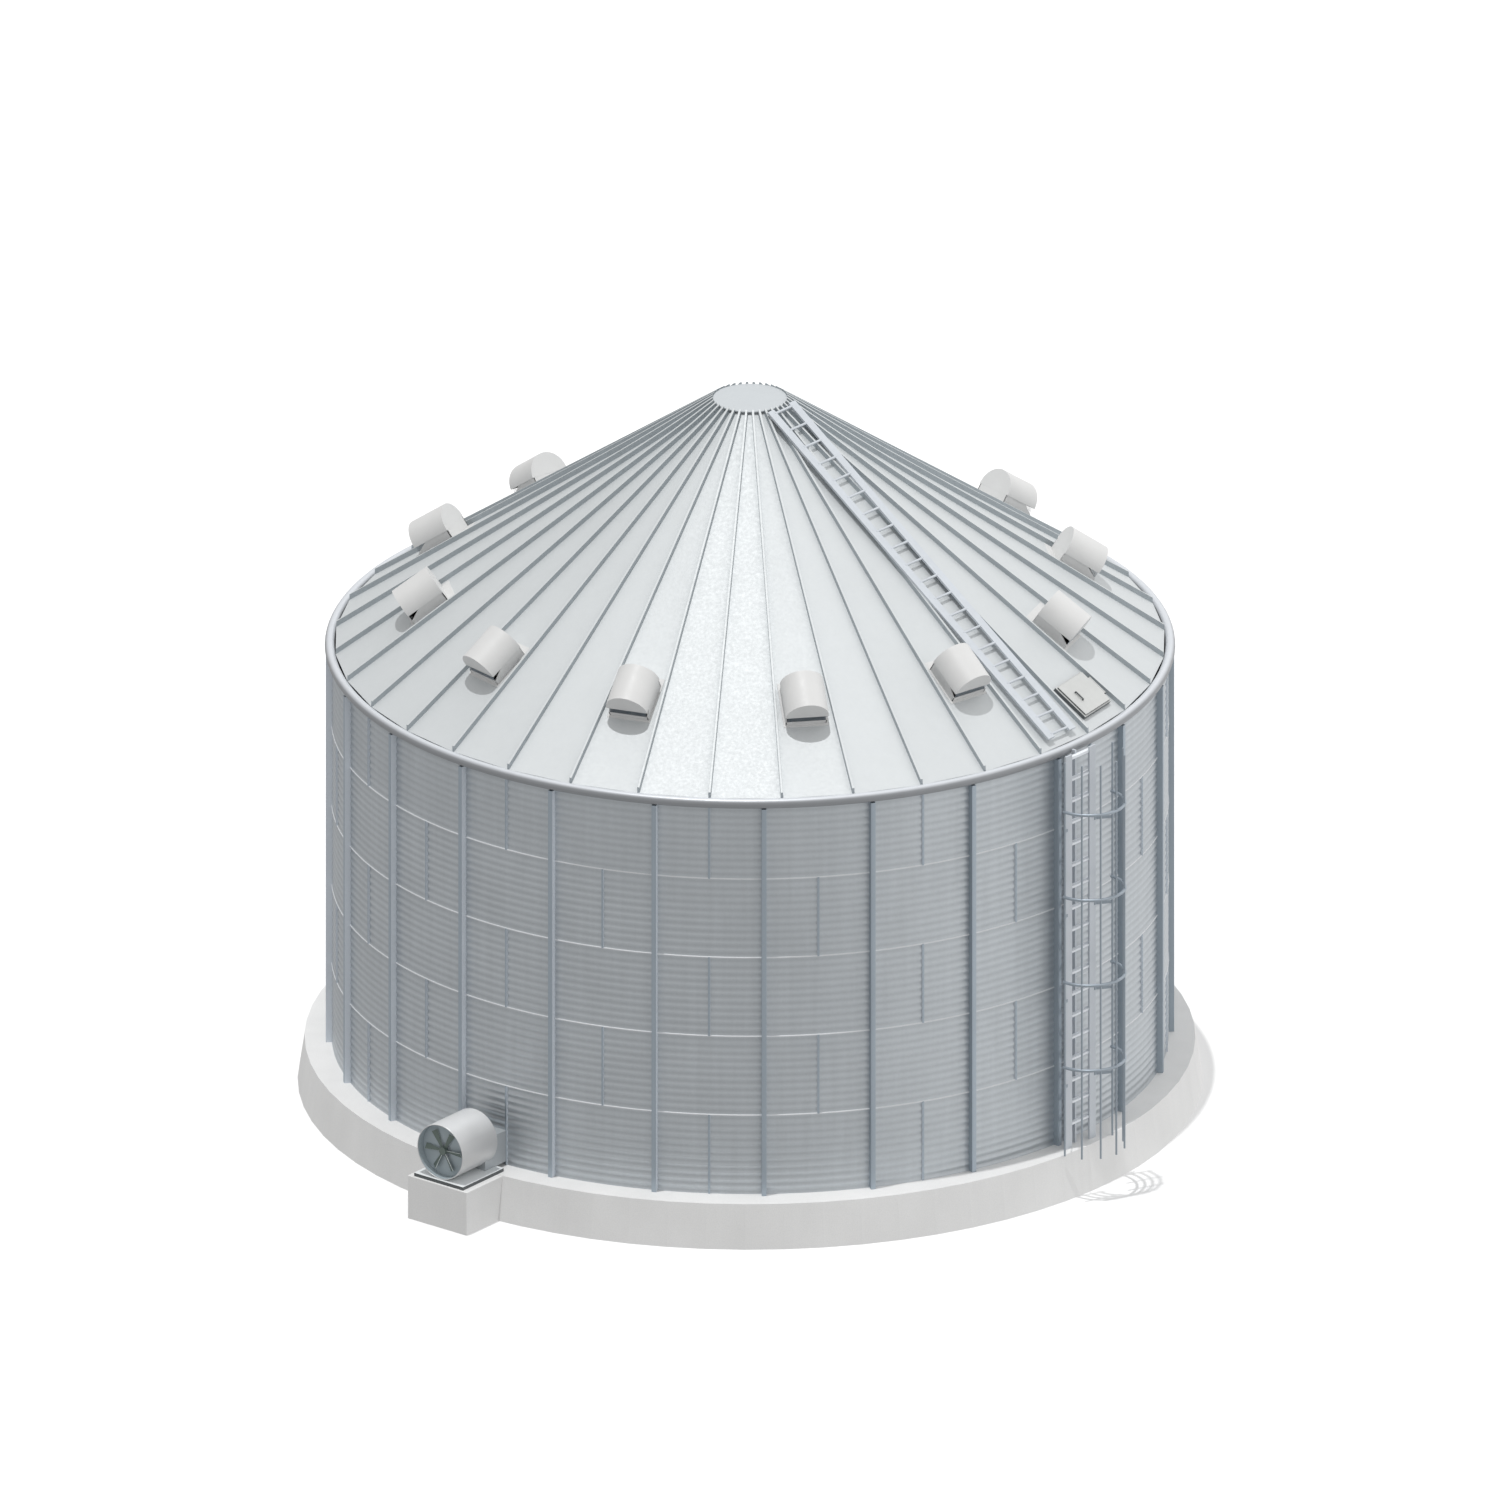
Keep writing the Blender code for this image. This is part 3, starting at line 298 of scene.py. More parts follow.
class Shape:
    """Vertices and faces of one mesh, gathered from lofts, boxes and rods."""

    def __init__(self):
        self.points = []
        self.faces = []
        # The numbers of the faces that take the second material
        self.second = set()

    def loft(self, rows, wrap=False, place=None):
        """Closed loops of points joined one to the next; wrap joins the last to the first."""
        base = len(self.points)
        count = len(rows[0])
        for row in rows:
            for point in row:
                point = Vector(point)
                self.points.append(place @ point if place else point)
        last = len(rows) if wrap else len(rows) - 1
        for r in range(last):
            here = base + r * count
            there = base + (r + 1) % len(rows) * count
            for i in range(count):
                j = (i + 1) % count
                self.faces.append((here + i, here + j, there + j, there + i))
        if not wrap:
            self.faces.append(tuple(base + i for i in range(count)))
            end = base + (len(rows) - 1) * count
            self.faces.append(tuple(end + i for i in reversed(range(count))))
        return self

    def box(self, low, high, place=None):
        rows = [
            [(low[0], low[1], z), (high[0], low[1], z), (high[0], high[1], z), (low[0], high[1], z)]
            for z in (low[2], high[2])
        ]
        return self.loft(rows, place=place)

    def rod(self, start, end, radius, sides=12, place=None):
        start, end = Vector(start), Vector(end)
        turn = (end - start).to_track_quat("Z", "Y")
        rows = [[foot + turn @ Vector(p) for p in circle(radius, 0, sides)] for foot in (start, end)]
        return self.loft(rows, place=place)

    def mesh(self, name, *materials, sharp=SHARP_ANGLE):
        """The mesh made from what was gathered; marked faces take the second material."""
        mesh = bpy.data.meshes.new(name)
        mesh.from_pydata([tuple(p) for p in self.points], [], self.faces)
        for material in materials:
            mesh.materials.append(material)
        for index in self.second:
            mesh.polygons[index].material_index = 1
        turn_outwards(mesh)
        mesh.shade_smooth()
        mesh.set_sharp_from_angle(angle=math.radians(sharp))
        return mesh

    def piece(self, name, material, slot, body="silo", sharp=SHARP_ANGLE, matrix=None, second=None):
        """The object made from what was gathered, riding on a body."""
        materials = (material, second) if second else (material,)
        return place_mesh(name, self.mesh(name, *materials, sharp=sharp), body, matrix)

    def mark_flank(self, bearing, half, start=0, both=False):
        """Marks a strip's faces on its flank towards the higher bearings, or on both its flanks."""
        across = at_bearing(bearing, 0, 0, 1)
        for index in range(start, len(self.faces)):
            sides = [across.dot(self.points[i]) for i in self.faces[index]]
            if min(sides) > half or both and max(sides) < -half:
                self.second.add(index)

    def mark_upright(self):
        """Marks each face that stands more or less upright."""
        for index, face in enumerate(self.faces):
            corners = [self.points[i] for i in face]
            normal = (corners[1] - corners[0]).cross(corners[2] - corners[0])
            if normal.length == 0 or abs(normal.normalized().z) < UPRIGHT_LIMIT:
                self.second.add(index)


def place_mesh(name, mesh, body="silo", matrix=None):
    item = bpy.data.objects.new(name, mesh)
    bpy.context.scene.collection.objects.link(item)
    if matrix:
        item.matrix_world = matrix
    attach(item, body)
    return item


def turn_outwards(mesh):
    shape = bmesh.new()
    shape.from_mesh(mesh)
    bmesh.ops.recalc_face_normals(shape, faces=shape.faces)
    shape.to_mesh(mesh)
    shape.free()


def link(tree, start, end):
    tree.links.new(start, end)


def new_material(name, colour, roughness, metallic):
    material = bpy.data.materials.new(name)
    material.use_nodes = True
    shader = material.node_tree.nodes["Principled BSDF"]
    shader.inputs["Base Color"].default_value = (*colour, 1)
    shader.inputs["Roughness"].default_value = roughness
    shader.inputs["Metallic"].default_value = metallic
    return material, material.node_tree, shader


def noise(tree, coordinates, scale, detail=3, stretch=None):
    node = tree.nodes.new("ShaderNodeTexNoise")
    node.inputs["Scale"].default_value = scale
    node.inputs["Detail"].default_value = detail
    if stretch:
        mapping = tree.nodes.new("ShaderNodeMapping")
        mapping.inputs["Scale"].default_value = stretch
        link(tree, coordinates, mapping.inputs["Vector"])
        coordinates = mapping.outputs["Vector"]
    link(tree, coordinates, node.inputs["Vector"])
    return node.outputs["Fac"]


def spangle(tree, coordinates, size):
    """Crystal flakes about that size across, each with its own value."""
    node = tree.nodes.new("ShaderNodeTexVoronoi")
    node.inputs["Scale"].default_value = 1 / size
    link(tree, coordinates, node.inputs["Vector"])
    tone = tree.nodes.new("ShaderNodeSeparateColor")
    link(tree, node.outputs["Color"], tone.inputs["Color"])
    return tone.outputs["Red"]


def spread(tree, value, low, high, value_low=0.0, value_high=1.0):
    node = tree.nodes.new("ShaderNodeMapRange")
    node.inputs["From Min"].default_value = value_low
    node.inputs["From Max"].default_value = value_high
    node.inputs["To Min"].default_value = low
    node.inputs["To Max"].default_value = high
    link(tree, value, node.inputs["Value"])
    return node.outputs["Result"]


def mottle(tree, coordinates, scale, low, high, detail=3, stretch=None):
    """A noise turned into tones between low and high."""
    return spread(tree, noise(tree, coordinates, scale, detail, stretch), low, high, *NOISE_SPAN)


def product(tree, first, second):
    node = tree.nodes.new("ShaderNodeMath")
    node.operation = "MULTIPLY"
    link(tree, first, node.inputs[0])
    link(tree, second, node.inputs[1])
    return node.outputs["Value"]


def tint(tree, colour, value):
    """The colour made lighter or darker by the value."""
    node = tree.nodes.new("ShaderNodeVectorMath")
    node.operation = "SCALE"
    node.inputs[0].default_value = colour
    link(tree, value, node.inputs["Scale"])
    return node.outputs["Vector"]


def bump(tree, value, distance, strength):
    node = tree.nodes.new("ShaderNodeBump")
    node.inputs["Distance"].default_value = distance
    node.inputs["Strength"].default_value = strength
    link(tree, value, node.inputs["Height"])
    return node.outputs["Normal"]


def zinc(name, colour, roughness, metallic, contrast, cloud=0.025, valley_shade=None, under=None):
    """Galvanised steel: zinc flakes, a soft mottle and faint upright streaks.

    The corrugations' valleys can take painted shade, and under is the tone of the painted shade on the
    flanks and underside.
    """
    material, tree, shader = new_material(name, colour, roughness, metallic)
    place = tree.nodes.new("ShaderNodeTexCoord").outputs["Object"]
    flakes = spread(tree, spangle(tree, place, FLAKE_SIZE), 1 - contrast, 1 + contrast)
    clouds = mottle(tree, place, 1.3, 1 - cloud, 1 + cloud, detail=4)
    streaks = mottle(tree, place, 9.0, 1 - cloud, 1 + cloud, stretch=(1, 1, 0.06))
    tone = product(tree, product(tree, flakes, clouds), streaks)
    # Painted shade in the corrugations' valleys
    if valley_shade:
        tone = product(tree, tone, painted_valley_shade(tree, place, valley_shade))
    # Painted shade on the flanks and underside
    if under:
        tone = product(tree, tone, painted_underside_shade(tree, under))
    link(tree, tint(tree, colour, tone), shader.inputs["Base Color"])
    rough = mottle(tree, place, 24.0, roughness - ZINC_ROUGH, roughness + ZINC_ROUGH)
    link(tree, rough, shader.inputs["Roughness"])
    dents = bump(tree, noise(tree, place, 6.0, detail=4), distance=0.0012, strength=0.5)
    link(tree, dents, shader.inputs["Normal"])
    return material


def painted_valley_shade(tree, place, depth):
    """Painted shade: a tone that is lighter on the corrugations' ridges and darker in their valleys."""
    split = tree.nodes.new("ShaderNodeSeparateXYZ")
    link(tree, place, split.inputs["Vector"])
    turn = tree.nodes.new("ShaderNodeMath")
    turn.operation = "MULTIPLY_ADD"
    turn.inputs[1].default_value = 2 * math.pi / CORRUGATION_PITCH
    turn.inputs[2].default_value = -2 * math.pi * FLOOR_UP / CORRUGATION_PITCH
    link(tree, split.outputs["Z"], turn.inputs[0])
    wave = tree.nodes.new("ShaderNodeMath")
    wave.operation = "COSINE"
    link(tree, turn.outputs["Value"], wave.inputs[0])
    return spread(tree, wave.outputs["Value"], 1 - depth, 1 + depth, -1, 1)


def painted_underside_shade(tree, lowest):
    """Painted shade: a tone that falls from one on top of a piece to the lowest on its flanks and
    underneath.
    """
    split = tree.nodes.new("ShaderNodeSeparateXYZ")
    link(tree, tree.nodes.new("ShaderNodeNewGeometry").outputs["Normal"], split.inputs["Vector"])
    return spread(tree, split.outputs["Z"], lowest, 1.0, *UNDERSIDE_SHADE_SPAN)


def paint(name, colour, roughness, metallic=0.0, under=None):
    """Sprayed paint on sheet, with a fine peel and a soft mottle; under is the tone of painted shade
    underneath.
    """
    material, tree, shader = new_material(name, colour, roughness, metallic)
    place = tree.nodes.new("ShaderNodeTexCoord").outputs["Object"]
    clouds = mottle(tree, place, 3.0, 0.97, 1.02, detail=4)
    tone = product(tree, clouds, mottle(tree, place, 120.0, 0.985, 1.015, detail=2))
    # Painted shade on the flanks and underside
    if under:
        tone = product(tree, tone, painted_underside_shade(tree, under))
    link(tree, tint(tree, colour, tone), shader.inputs["Base Color"])
    rough = mottle(tree, place, 14.0, roughness - PAINT_ROUGH, roughness + PAINT_ROUGH)
    link(tree, rough, shader.inputs["Roughness"])
    peel = bump(tree, noise(tree, place, 220.0, detail=2), distance=0.0002, strength=0.4)
    link(tree, peel, shader.inputs["Normal"])
    return material


def concrete(name, colour, roughness):
    """Cast concrete: cloudy patches, fine sand, faint runs and small pores."""
    material, tree, shader = new_material(name, colour, roughness, 0.0)
    place = tree.nodes.new("ShaderNodeTexCoord").outputs["Object"]
    clouds = mottle(tree, place, 0.9, 0.965, 1.03, detail=5)
    sand = mottle(tree, place, 90.0, 0.96, 1.04)
    runs = mottle(tree, place, 3.5, 0.98, 1.01, stretch=(1, 1, 0.15))
    tone = product(tree, product(tree, clouds, sand), runs)
    link(tree, tint(tree, colour, tone), shader.inputs["Base Color"])
    pores = bump(tree, noise(tree, place, 60.0, detail=6), distance=0.002, strength=0.5)
    link(tree, pores, shader.inputs["Normal"])
    return material


def make_materials():
    """Every material: its colour, roughness and metallic, then the contrast of its flakes and clouds."""
    return {
        "concrete": concrete("concrete", (0.82, 0.82, 0.815), 0.85),
        # The wall paints shade into its corrugations' valleys
        "wall": zinc("galvanised_sheet", (0.548, 0.58, 0.606), 0.45, 0.8, 0.015, valley_shade=0.05),
        "roof": zinc("roof_sheet", (0.625, 0.65, 0.66), 0.55, 0.2, 0.003, 0.01),
        # A darker copy of the roof sheet for the ribs' sides: painted shade
        "rib": zinc("rib_side_painted_shade", (0.42, 0.46, 0.485), 0.5, 0.3, 0.01),
        "cap": zinc("cap_sheet", (0.55, 0.58, 0.60), 0.6, 0.15, 0.01, 0.01),
        # The eave tube darkens towards its underside: painted shade
        "tube": zinc("eave_tube", (0.66, 0.685, 0.72), 0.4, 0.2, 0.003, 0.01, under=0.45),
        "frame": zinc("stiffener_steel", (0.415, 0.475, 0.53), 0.42, 0.8, 0.01),
        # A pale copy of the stiffener steel for the strips' flanks: painted light
        "flank": zinc("stiffener_flank_painted_light", (0.72, 0.77, 0.83), 0.5, 0.2, 0.01),
        # A pale copy of the sheet for the laps: a painted highlight
        "lap": zinc("ring_lap_painted_highlight", (0.74, 0.76, 0.78), 0.5, 0.2, 0.01),
        "ladder": zinc("ladder_steel", (0.60, 0.635, 0.675), 0.45, 0.3, 0.01),
        # A pale steel for the side ladder's rungs: painted light
        "rung": zinc("rung_steel_painted_light", (0.86, 0.89, 0.93), 0.5, 0.1, 0.01),
        "cage": zinc("cage_steel", (0.36, 0.41, 0.46), 0.4, 0.5, 0.01),
        "lid": zinc("lid_sheet", (0.58, 0.59, 0.58), 0.55, 0.1, 0.01),
        # Dark steel for the handle and hinge lugs, also painted as shade on upright sides
        "dark": zinc("dark_steel_and_painted_shade", (0.12, 0.13, 0.135), 0.5, 0.4, 0.02),
        # A pale top that paints light over the drum's shadow on the plate
        "plate": zinc("base_plate", (0.88, 0.91, 0.92), 0.5, 0.1, 0.01),
        "duct": zinc("duct_sheet", (0.50, 0.53, 0.55), 0.45, 0.4, 0.01),
        "disc": zinc("fan_disc", (0.40, 0.46, 0.49), 0.5, 0.1, 0.01),
        "white": paint("white_paint", (0.69, 0.69, 0.685), 0.5),
        # The drum darkens towards its underside: painted shade
        "drum": paint("drum_paint", (0.88, 0.885, 0.89), 0.35, 0.3, under=0.72),
        "fan": paint("fan_paint", (0.16, 0.20, 0.18), 0.40, 0.3),
        "motor": paint("motor_paint", (0.34, 0.38, 0.41), 0.45, 0.2),
        # A pale paint along the blades' edges: a painted highlight
        "edge": paint("blade_edge_painted_highlight", (0.80, 0.84, 0.82), 0.35, 0.2),
    }


def wall_radius_at(up):
    """The sheet's outer radius: a ridge at each ring joint and a valley half a pitch away."""
    turn = 2 * math.pi * (up - FLOOR_UP) / CORRUGATION_PITCH
    return WALL_RADIUS - CORRUGATION_DEPTH / 2 * (1 - math.cos(turn))


def wall_top():
    return EAVE_TUBE_UP - EAVE_TUBE_RADIUS - SEAT


def ring_span(ring):
    low = FLOOR_UP + ring * RING_HEIGHT
    return max(low, FLOOR_UP + SEAT), min(low + RING_HEIGHT, wall_top())


def revolve(shape, section, step=BEARING_STEP):
    """Sweeps a closed section of (out, up) points round the silo."""
    count = round(360 / step)
    rows = [[at_bearing(i * step, out, up) for out, up in section] for i in range(count)]
    shape.loft(rows, wrap=True)


def build_wall(materials):
    nodes = [f"wall_segment_{k}" for k in range(1, 7)]
    for ring in range(RINGS):
        low, high = ring_span(ring)
        steps = round((high - low) / CORRUGATION_PITCH * STEPS_PER_CORRUGATION)
        ups = evenly(low, high, steps + 1)
        section = [(wall_radius_at(up), up) for up in ups]
        section += [(wall_radius_at(up) - SHEET_THICKNESS, up) for up in reversed(ups)]
        shape = Shape()
        revolve(shape, section)
        name = f"wall_ring_{ring + 1}"
        piece = shape.piece(name, materials["wall"], "galvanised_sheet", sharp=WALL_SHARP_ANGLE)
        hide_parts(*nodes)
        if ring == 0:
            cut_fan_inlet(piece)
        build_seams(ring, materials)
    build_laps(materials)


def cut_fan_inlet(piece):
    """The hole in the lowest ring where the fan's duct meets the wall."""
    low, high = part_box("fan_duct")
    corners = (
        (-INLET_HALF, -WALL_RADIUS - INLET_REACH, low.z + INLET_MARGIN),
        (INLET_HALF, -WALL_RADIUS + INLET_REACH, high.z - INLET_MARGIN),
    )
    cut_away(piece, Shape().box(*corners, turned_to(FAN_BEARING)))


def seam_bearings(ring):
    """Upright seams, which stand half a sheet over in every other ring."""
    step = 360 / SHEETS_PER_RING
    first = 0 if ring % 2 == 0 else step / 2
    return [first + k * step for k in range(SHEETS_PER_RING)]


def build_seams(ring, materials):
    """The strips over a ring's upright seams, with a bolt on each ridge."""
    low, high = ring_span(ring)
    half, edge = SEAM_WIDTH / 2, SEAM_EDGE
    inner, outer = WALL_RADIUS - CORRUGATION_DEPTH - SEAM_SUNK, WALL_RADIUS + SEAM_PROUD
    outline = [
        (-half, inner), (-half, outer - edge), (-half + edge, outer),
        (half - edge, outer), (half, outer - edge), (half, inner),
    ]
    shape = Shape()
    for bearing in seam_bearings(ring):
        rows = [[at_bearing(bearing, out, up, side) for side, out in outline] for up in (low, high)]
        start = len(shape.faces)
        shape.loft(rows)
        # Both flanks take the pale steel: painted light
        shape.mark_flank(bearing, half - FLANK_SLACK, start, both=True)
        for k in range(1, CORRUGATIONS_PER_RING):
            up = FLOOR_UP + ring * RING_HEIGHT + k * CORRUGATION_PITCH
            if up < high - BOLT_RADIUS:
                add_bolt(shape, bearing, outer, up)
    name = f"wall_seams_{ring + 1}"
    shape.piece(name, materials["frame"], "galvanised_sheet", second=materials["flank"])


def add_bolt(shape, bearing, out, up):
    """A low six-sided bolt head with a chamfered crown, standing on an upright face."""
    rows = []
    for lift, radius in (
        (-BOLT_SUNK, BOLT_RADIUS), (BOLT_SHOULDER * BOLT_HEIGHT, BOLT_RADIUS),
        (BOLT_HEIGHT, BOLT_CROWN * BOLT_RADIUS),
    ):
        loop = circle(radius, 0, BOLT_SIDES)
        rows.append([at_bearing(bearing, out + lift, up + rise, side) for side, rise, _ in loop])
    shape.loft(rows)


def build_laps(materials):
    """The rounded lap at each ring joint, with its bolts, in a pale steel that paints a highlight along
    it.
    """
    shape = Shape()
    inner = WALL_RADIUS - LAP_DEPTH
    for ring in range(1, RINGS):
        up = FLOOR_UP + ring * RING_HEIGHT
        section = [(inner, up - LAP_HALF_HEIGHT)]
        for angle in evenly(-90, 90, LAP_STEPS):
            turn = math.radians(angle)
            section.append((
                WALL_RADIUS - LAP_SUNK + (LAP_PROUD + LAP_SUNK) * math.cos(turn),
                up + LAP_HALF_HEIGHT * math.sin(turn),
            ))
        section.append((inner, up + LAP_HALF_HEIGHT))
        revolve(shape, section)
        for k in range(round(360 / LAP_BOLT_STEP)):
            bearing = (k + 0.5) * LAP_BOLT_STEP
            add_bolt(shape, bearing, WALL_RADIUS + LAP_PROUD, up)
    shape.piece("wall_laps", materials["lap"], "galvanised_sheet")


def stiffener_outline():
    """Plan of a stiffener, from the wall out round its two rounded corners."""
    half = STIFFENER_WIDTH / 2
    inner = WALL_RADIUS - CORRUGATION_DEPTH
    points = [(-half, inner)]
    for sign, angles in ((-1, evenly(180, 90, CORNER_STEPS)), (1, evenly(90, 0, CORNER_STEPS))):
        for angle in angles:
            turn = math.radians(angle)
            points.append((
                sign * (half - STIFFENER_CORNER) + STIFFENER_CORNER * math.cos(turn),
                STIFFENER_REACH - STIFFENER_CORNER + STIFFENER_CORNER * math.sin(turn),
            ))
    points.append((half, inner))
    return points


def build_stiffeners(materials):
    outline = stiffener_outline()
    for k in range(STIFFENERS):
        bearing = STIFFENER_FIRST + k * 360 / STIFFENERS
        rows = [
            [at_bearing(bearing, out, up, side) for side, out in outline]
            for up in (FLOOR_UP + SEAT, wall_top())
        ]
        shape = Shape().loft(rows)
        # The flank towards the higher bearings takes the pale steel: painted light
        shape.mark_flank(bearing, STIFFENER_WIDTH / 2 - FLANK_SLACK)
        name = f"stiffener_{k + 1:02d}"
        shape.piece(name, materials["frame"], "galvanised_frame", second=materials["flank"])


def build_eave(materials):
    loop = circle(EAVE_TUBE_RADIUS, 0, EAVE_TUBE_SIDES)
    section = [(EAVE_TUBE_OUT + out, EAVE_TUBE_UP + up) for out, up, _ in loop]
    shape = Shape()
    revolve(shape, section)
    piece = shape.piece("eave_tube", materials["tube"], "roof_sheet")
    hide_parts(*(f"eave_tube_{k}" for k in range(1, 5)))


def rib_line_up(out):
    """The height of the sheets' top along a fold; the folds rest on the eave tube at their foot."""
    reach = EAVE_TUBE_RADIUS + SEAT
    contact_up = EAVE_TUBE_UP + reach * math.sin(EAVE_CONTACT)
    slope = math.tan(ROOF_PITCH) * math.cos(math.radians(RIB_STEP / 2))
    return contact_up + ROOF_SHEET / math.cos(ROOF_PITCH) + slope * (roof_foot_out() - out)


def on_panel(bearing, out, lift=0.0):
    """The frame on a roof panel: +X to the side, +Y up the slope, +Z out of the panel."""
    up = rib_line_up(out / math.cos(math.radians(RIB_STEP / 2)))
    lean = Matrix.Rotation(ROOF_PITCH, 4, "X") @ Matrix.Translation((0, 0, lift))
    return Matrix.Translation(at_bearing(bearing, out, up)) @ turned_to(bearing) @ lean


def cut_away(piece, shape, sharp=SHARP_ANGLE):
    """Cuts a shape out of a piece, whose edges are then sharp past an angle."""
    tool = bpy.data.objects.new("cutter", shape.mesh("cutter"))
    bpy.context.scene.collection.objects.link(tool)
    step = piece.modifiers.new("cut", "BOOLEAN")
    step.operation = "DIFFERENCE"
    step.solver = "EXACT"
    step.object = tool
    bpy.context.view_layer.update()
    graph = bpy.context.evaluated_depsgraph_get()
    mesh = bpy.data.meshes.new_from_object(piece.evaluated_get(graph))
    piece.modifiers.clear()
    mesh.set_sharp_from_angle(angle=math.radians(sharp))
    piece.data = mesh
    bpy.data.objects.remove(tool)


def roof_foot_out():
    return EAVE_TUBE_OUT - (EAVE_TUBE_RADIUS + SEAT) * math.cos(EAVE_CONTACT)


def vent_places():
    return [VENT_FIRST + k * 360 / VENTS for k in range(VENTS)]


def build_roof(materials):
    """The folded roof sheets with their holes, and the ribs that stand on the folds."""
    sheet = ROOF_SHEET / math.cos(ROOF_PITCH)
    ends = [(out, rib_line_up(out)) for out in (ROOF_TOP_OUT, roof_foot_out())]
    section = ends + [(out, up - sheet) for out, up in reversed(ends)]
    shape = Shape()
    revolve(shape, section, RIB_STEP)
    piece = shape.piece("roof_sheets", materials["roof"], "roof_sheet", sharp=ROOF_SHARP_ANGLE)
    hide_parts(*(f"roof_segment_{k}" for k in range(1, 7)))
    holes = Shape()
    half = [side / 2 - VENT_CURB_SHEET for side in VENT_CURB]
    for bearing in vent_places():
        add_hole(holes, half, on_panel(bearing, VENT_OUT))
    half = [side / 2 - HATCH_CURB_SHEET for side in HATCH_CURB]
    add_hole(holes, half, on_panel(HATCH_BEARING, HATCH_OUT))
    cut_away(piece, holes, ROOF_SHARP_ANGLE)
    build_ribs(materials)


def add_hole(shape, half, place):
    """Adds a block that cuts through the roof sheet, of the given half sizes."""
    low = (-half[0], -half[1], -ROOF_CUT_REACH)
    high = (half[0], half[1], ROOF_CUT_REACH)
    shape.box(low, high, place)


def build_ribs(materials):
    half, edge = RIB_WIDTH / 2, RIB_EDGE
    rise, sunk = (height / math.cos(ROOF_PITCH) for height in (RIB_HEIGHT, RIB_SUNK))
    outline = (
        (-half, -sunk), (half, -sunk), (half, rise - edge),
        (half - edge, rise), (edge - half, rise), (-half, rise - edge),
    )
    shape = Shape()
    for k in range(round(360 / RIB_STEP)):
        rows = [
            [at_bearing(k * RIB_STEP, out, rib_line_up(out) + lift, side) for side, lift in outline]
            for out in (RIB_TOP_OUT, roof_foot_out() - RIB_SETBACK)
        ]
        shape.loft(rows)
    # The ribs' upright sides take the darker steel: painted shade
    shape.mark_upright()
    shape.piece("roof_ribs", materials["roof"], "roof_sheet", second=materials["rib"])


def build_cap(materials):
    low, high = (corner.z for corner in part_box("roof_cap"))
    under = high - CAP_THICKNESS
    section = [
        (COLLAR[0], under), (COLLAR[0], low), (COLLAR[1], low), (COLLAR[1], under),
        (CAP_RADIUS - CAP_EDGE, under), (CAP_RADIUS, under + CAP_EDGE),
        (CAP_RADIUS, high - CAP_EDGE), (CAP_RADIUS - CAP_EDGE, high),
    ]
    step = 360 / CAP_SIDES
    rows = [[at_bearing(step * i, out, up) for i in range(CAP_SIDES)] for out, up in section]
    piece = Shape().loft(rows).piece("roof_cap_disc", materials["cap"], "roof_sheet")
    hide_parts("roof_cap")


def hood_row(shrink, y):
    """An arch across the vent at y, drawn in by shrink."""
    half = VENT_HOOD_WIDTH / 2 - shrink
    rise = VENT_HOOD_RISE - shrink
    return [
        (
            half * math.cos(math.pi * i / VENT_HOOD_SIDES),
            y,
            VENT_CURB_HEIGHT + rise * math.sin(math.pi * i / VENT_HOOD_SIDES),
        )
        for i in range(VENT_HOOD_SIDES + 1)
    ]


def vent_mesh(*materials):
    """A flange, a curb whose down-slope end is its mouth, and an arched hood on top."""
    shape = Shape()
    half_x, half_y = (side / 2 for side in VENT_CURB)
    hole_x, hole_y = half_x - VENT_CURB_SHEET, half_y - VENT_CURB_SHEET
    front, back = VENT_FLANGE_ALONG
    edge = VENT_FLANGE_EDGE
    lip = VENT_FLANGE_HALF - edge
    shape.loft(
        [
            rectangle(hole_x, -hole_y, hole_y, 0),
            rectangle(VENT_FLANGE_HALF, front, back, 0),
            rectangle(VENT_FLANGE_HALF, front, back, VENT_FLANGE_SHEET - edge),
            rectangle(lip, front + edge, back - edge, VENT_FLANGE_SHEET),
            rectangle(hole_x, -hole_y, hole_y, VENT_FLANGE_SHEET),
        ],
        wrap=True,
    )
    top = VENT_CURB_HEIGHT + VENT_CURB_TUCK
    shape.box((-half_x, -half_y, 0), (half_x, VENT_FRONT_SHEET - half_y, VENT_FRONT_HEIGHT))
    shape.box((-half_x, hole_y, 0), (half_x, half_y, top))
    outline = (
        (-half_y, 0), (half_y, 0), (half_y, top), (VENT_MOUTH_DEPTH - half_y, top),
        (VENT_MOUTH_DEPTH - half_y, VENT_CURB_HEIGHT), (-half_y, VENT_FRONT_HEIGHT),
    )
    for side in (-1, 1):
        shape.loft([[(side * x, y, z) for y, z in outline] for x in (hole_x, half_x)])
    length = VENT_HOOD_LENGTH / 2
    inner = length - VENT_HOOD_SHEET
    outside = [hood_row(0, -length), hood_row(0, length)]
    inside = [hood_row(VENT_HOOD_SHEET, inner), hood_row(VENT_HOOD_SHEET, -inner)]
    add_hood(shape, outside, inside)
    add_screen(shape)
    return shape.mesh("vent", *materials)


def add_screen(shape):
    """The wire screen across a vent's mouth."""
    reach = VENT_CURB[0] / 2 - VENT_CURB_SHEET
    y = VENT_FRONT_SHEET + SCREEN_WIRE - VENT_CURB[1] / 2
    low, high = VENT_FRONT_HEIGHT - SCREEN_TUCK, VENT_CURB_HEIGHT
    start = len(shape.faces)
    uprights = round(2 * reach / SCREEN_STEP)
    for x in evenly(-reach, reach, uprights + 1)[1:-1]:
        shape.rod((x, y, low), (x, y, high), SCREEN_WIRE, sides=4)
    levels = round((high - low) / SCREEN_STEP)
    for z in evenly(low, high, levels + 1)[1:-1]:
        shape.rod((-reach, y, z), (reach, y, z), SCREEN_WIRE, sides=4)
    shape.second.update(range(start, len(shape.faces)))


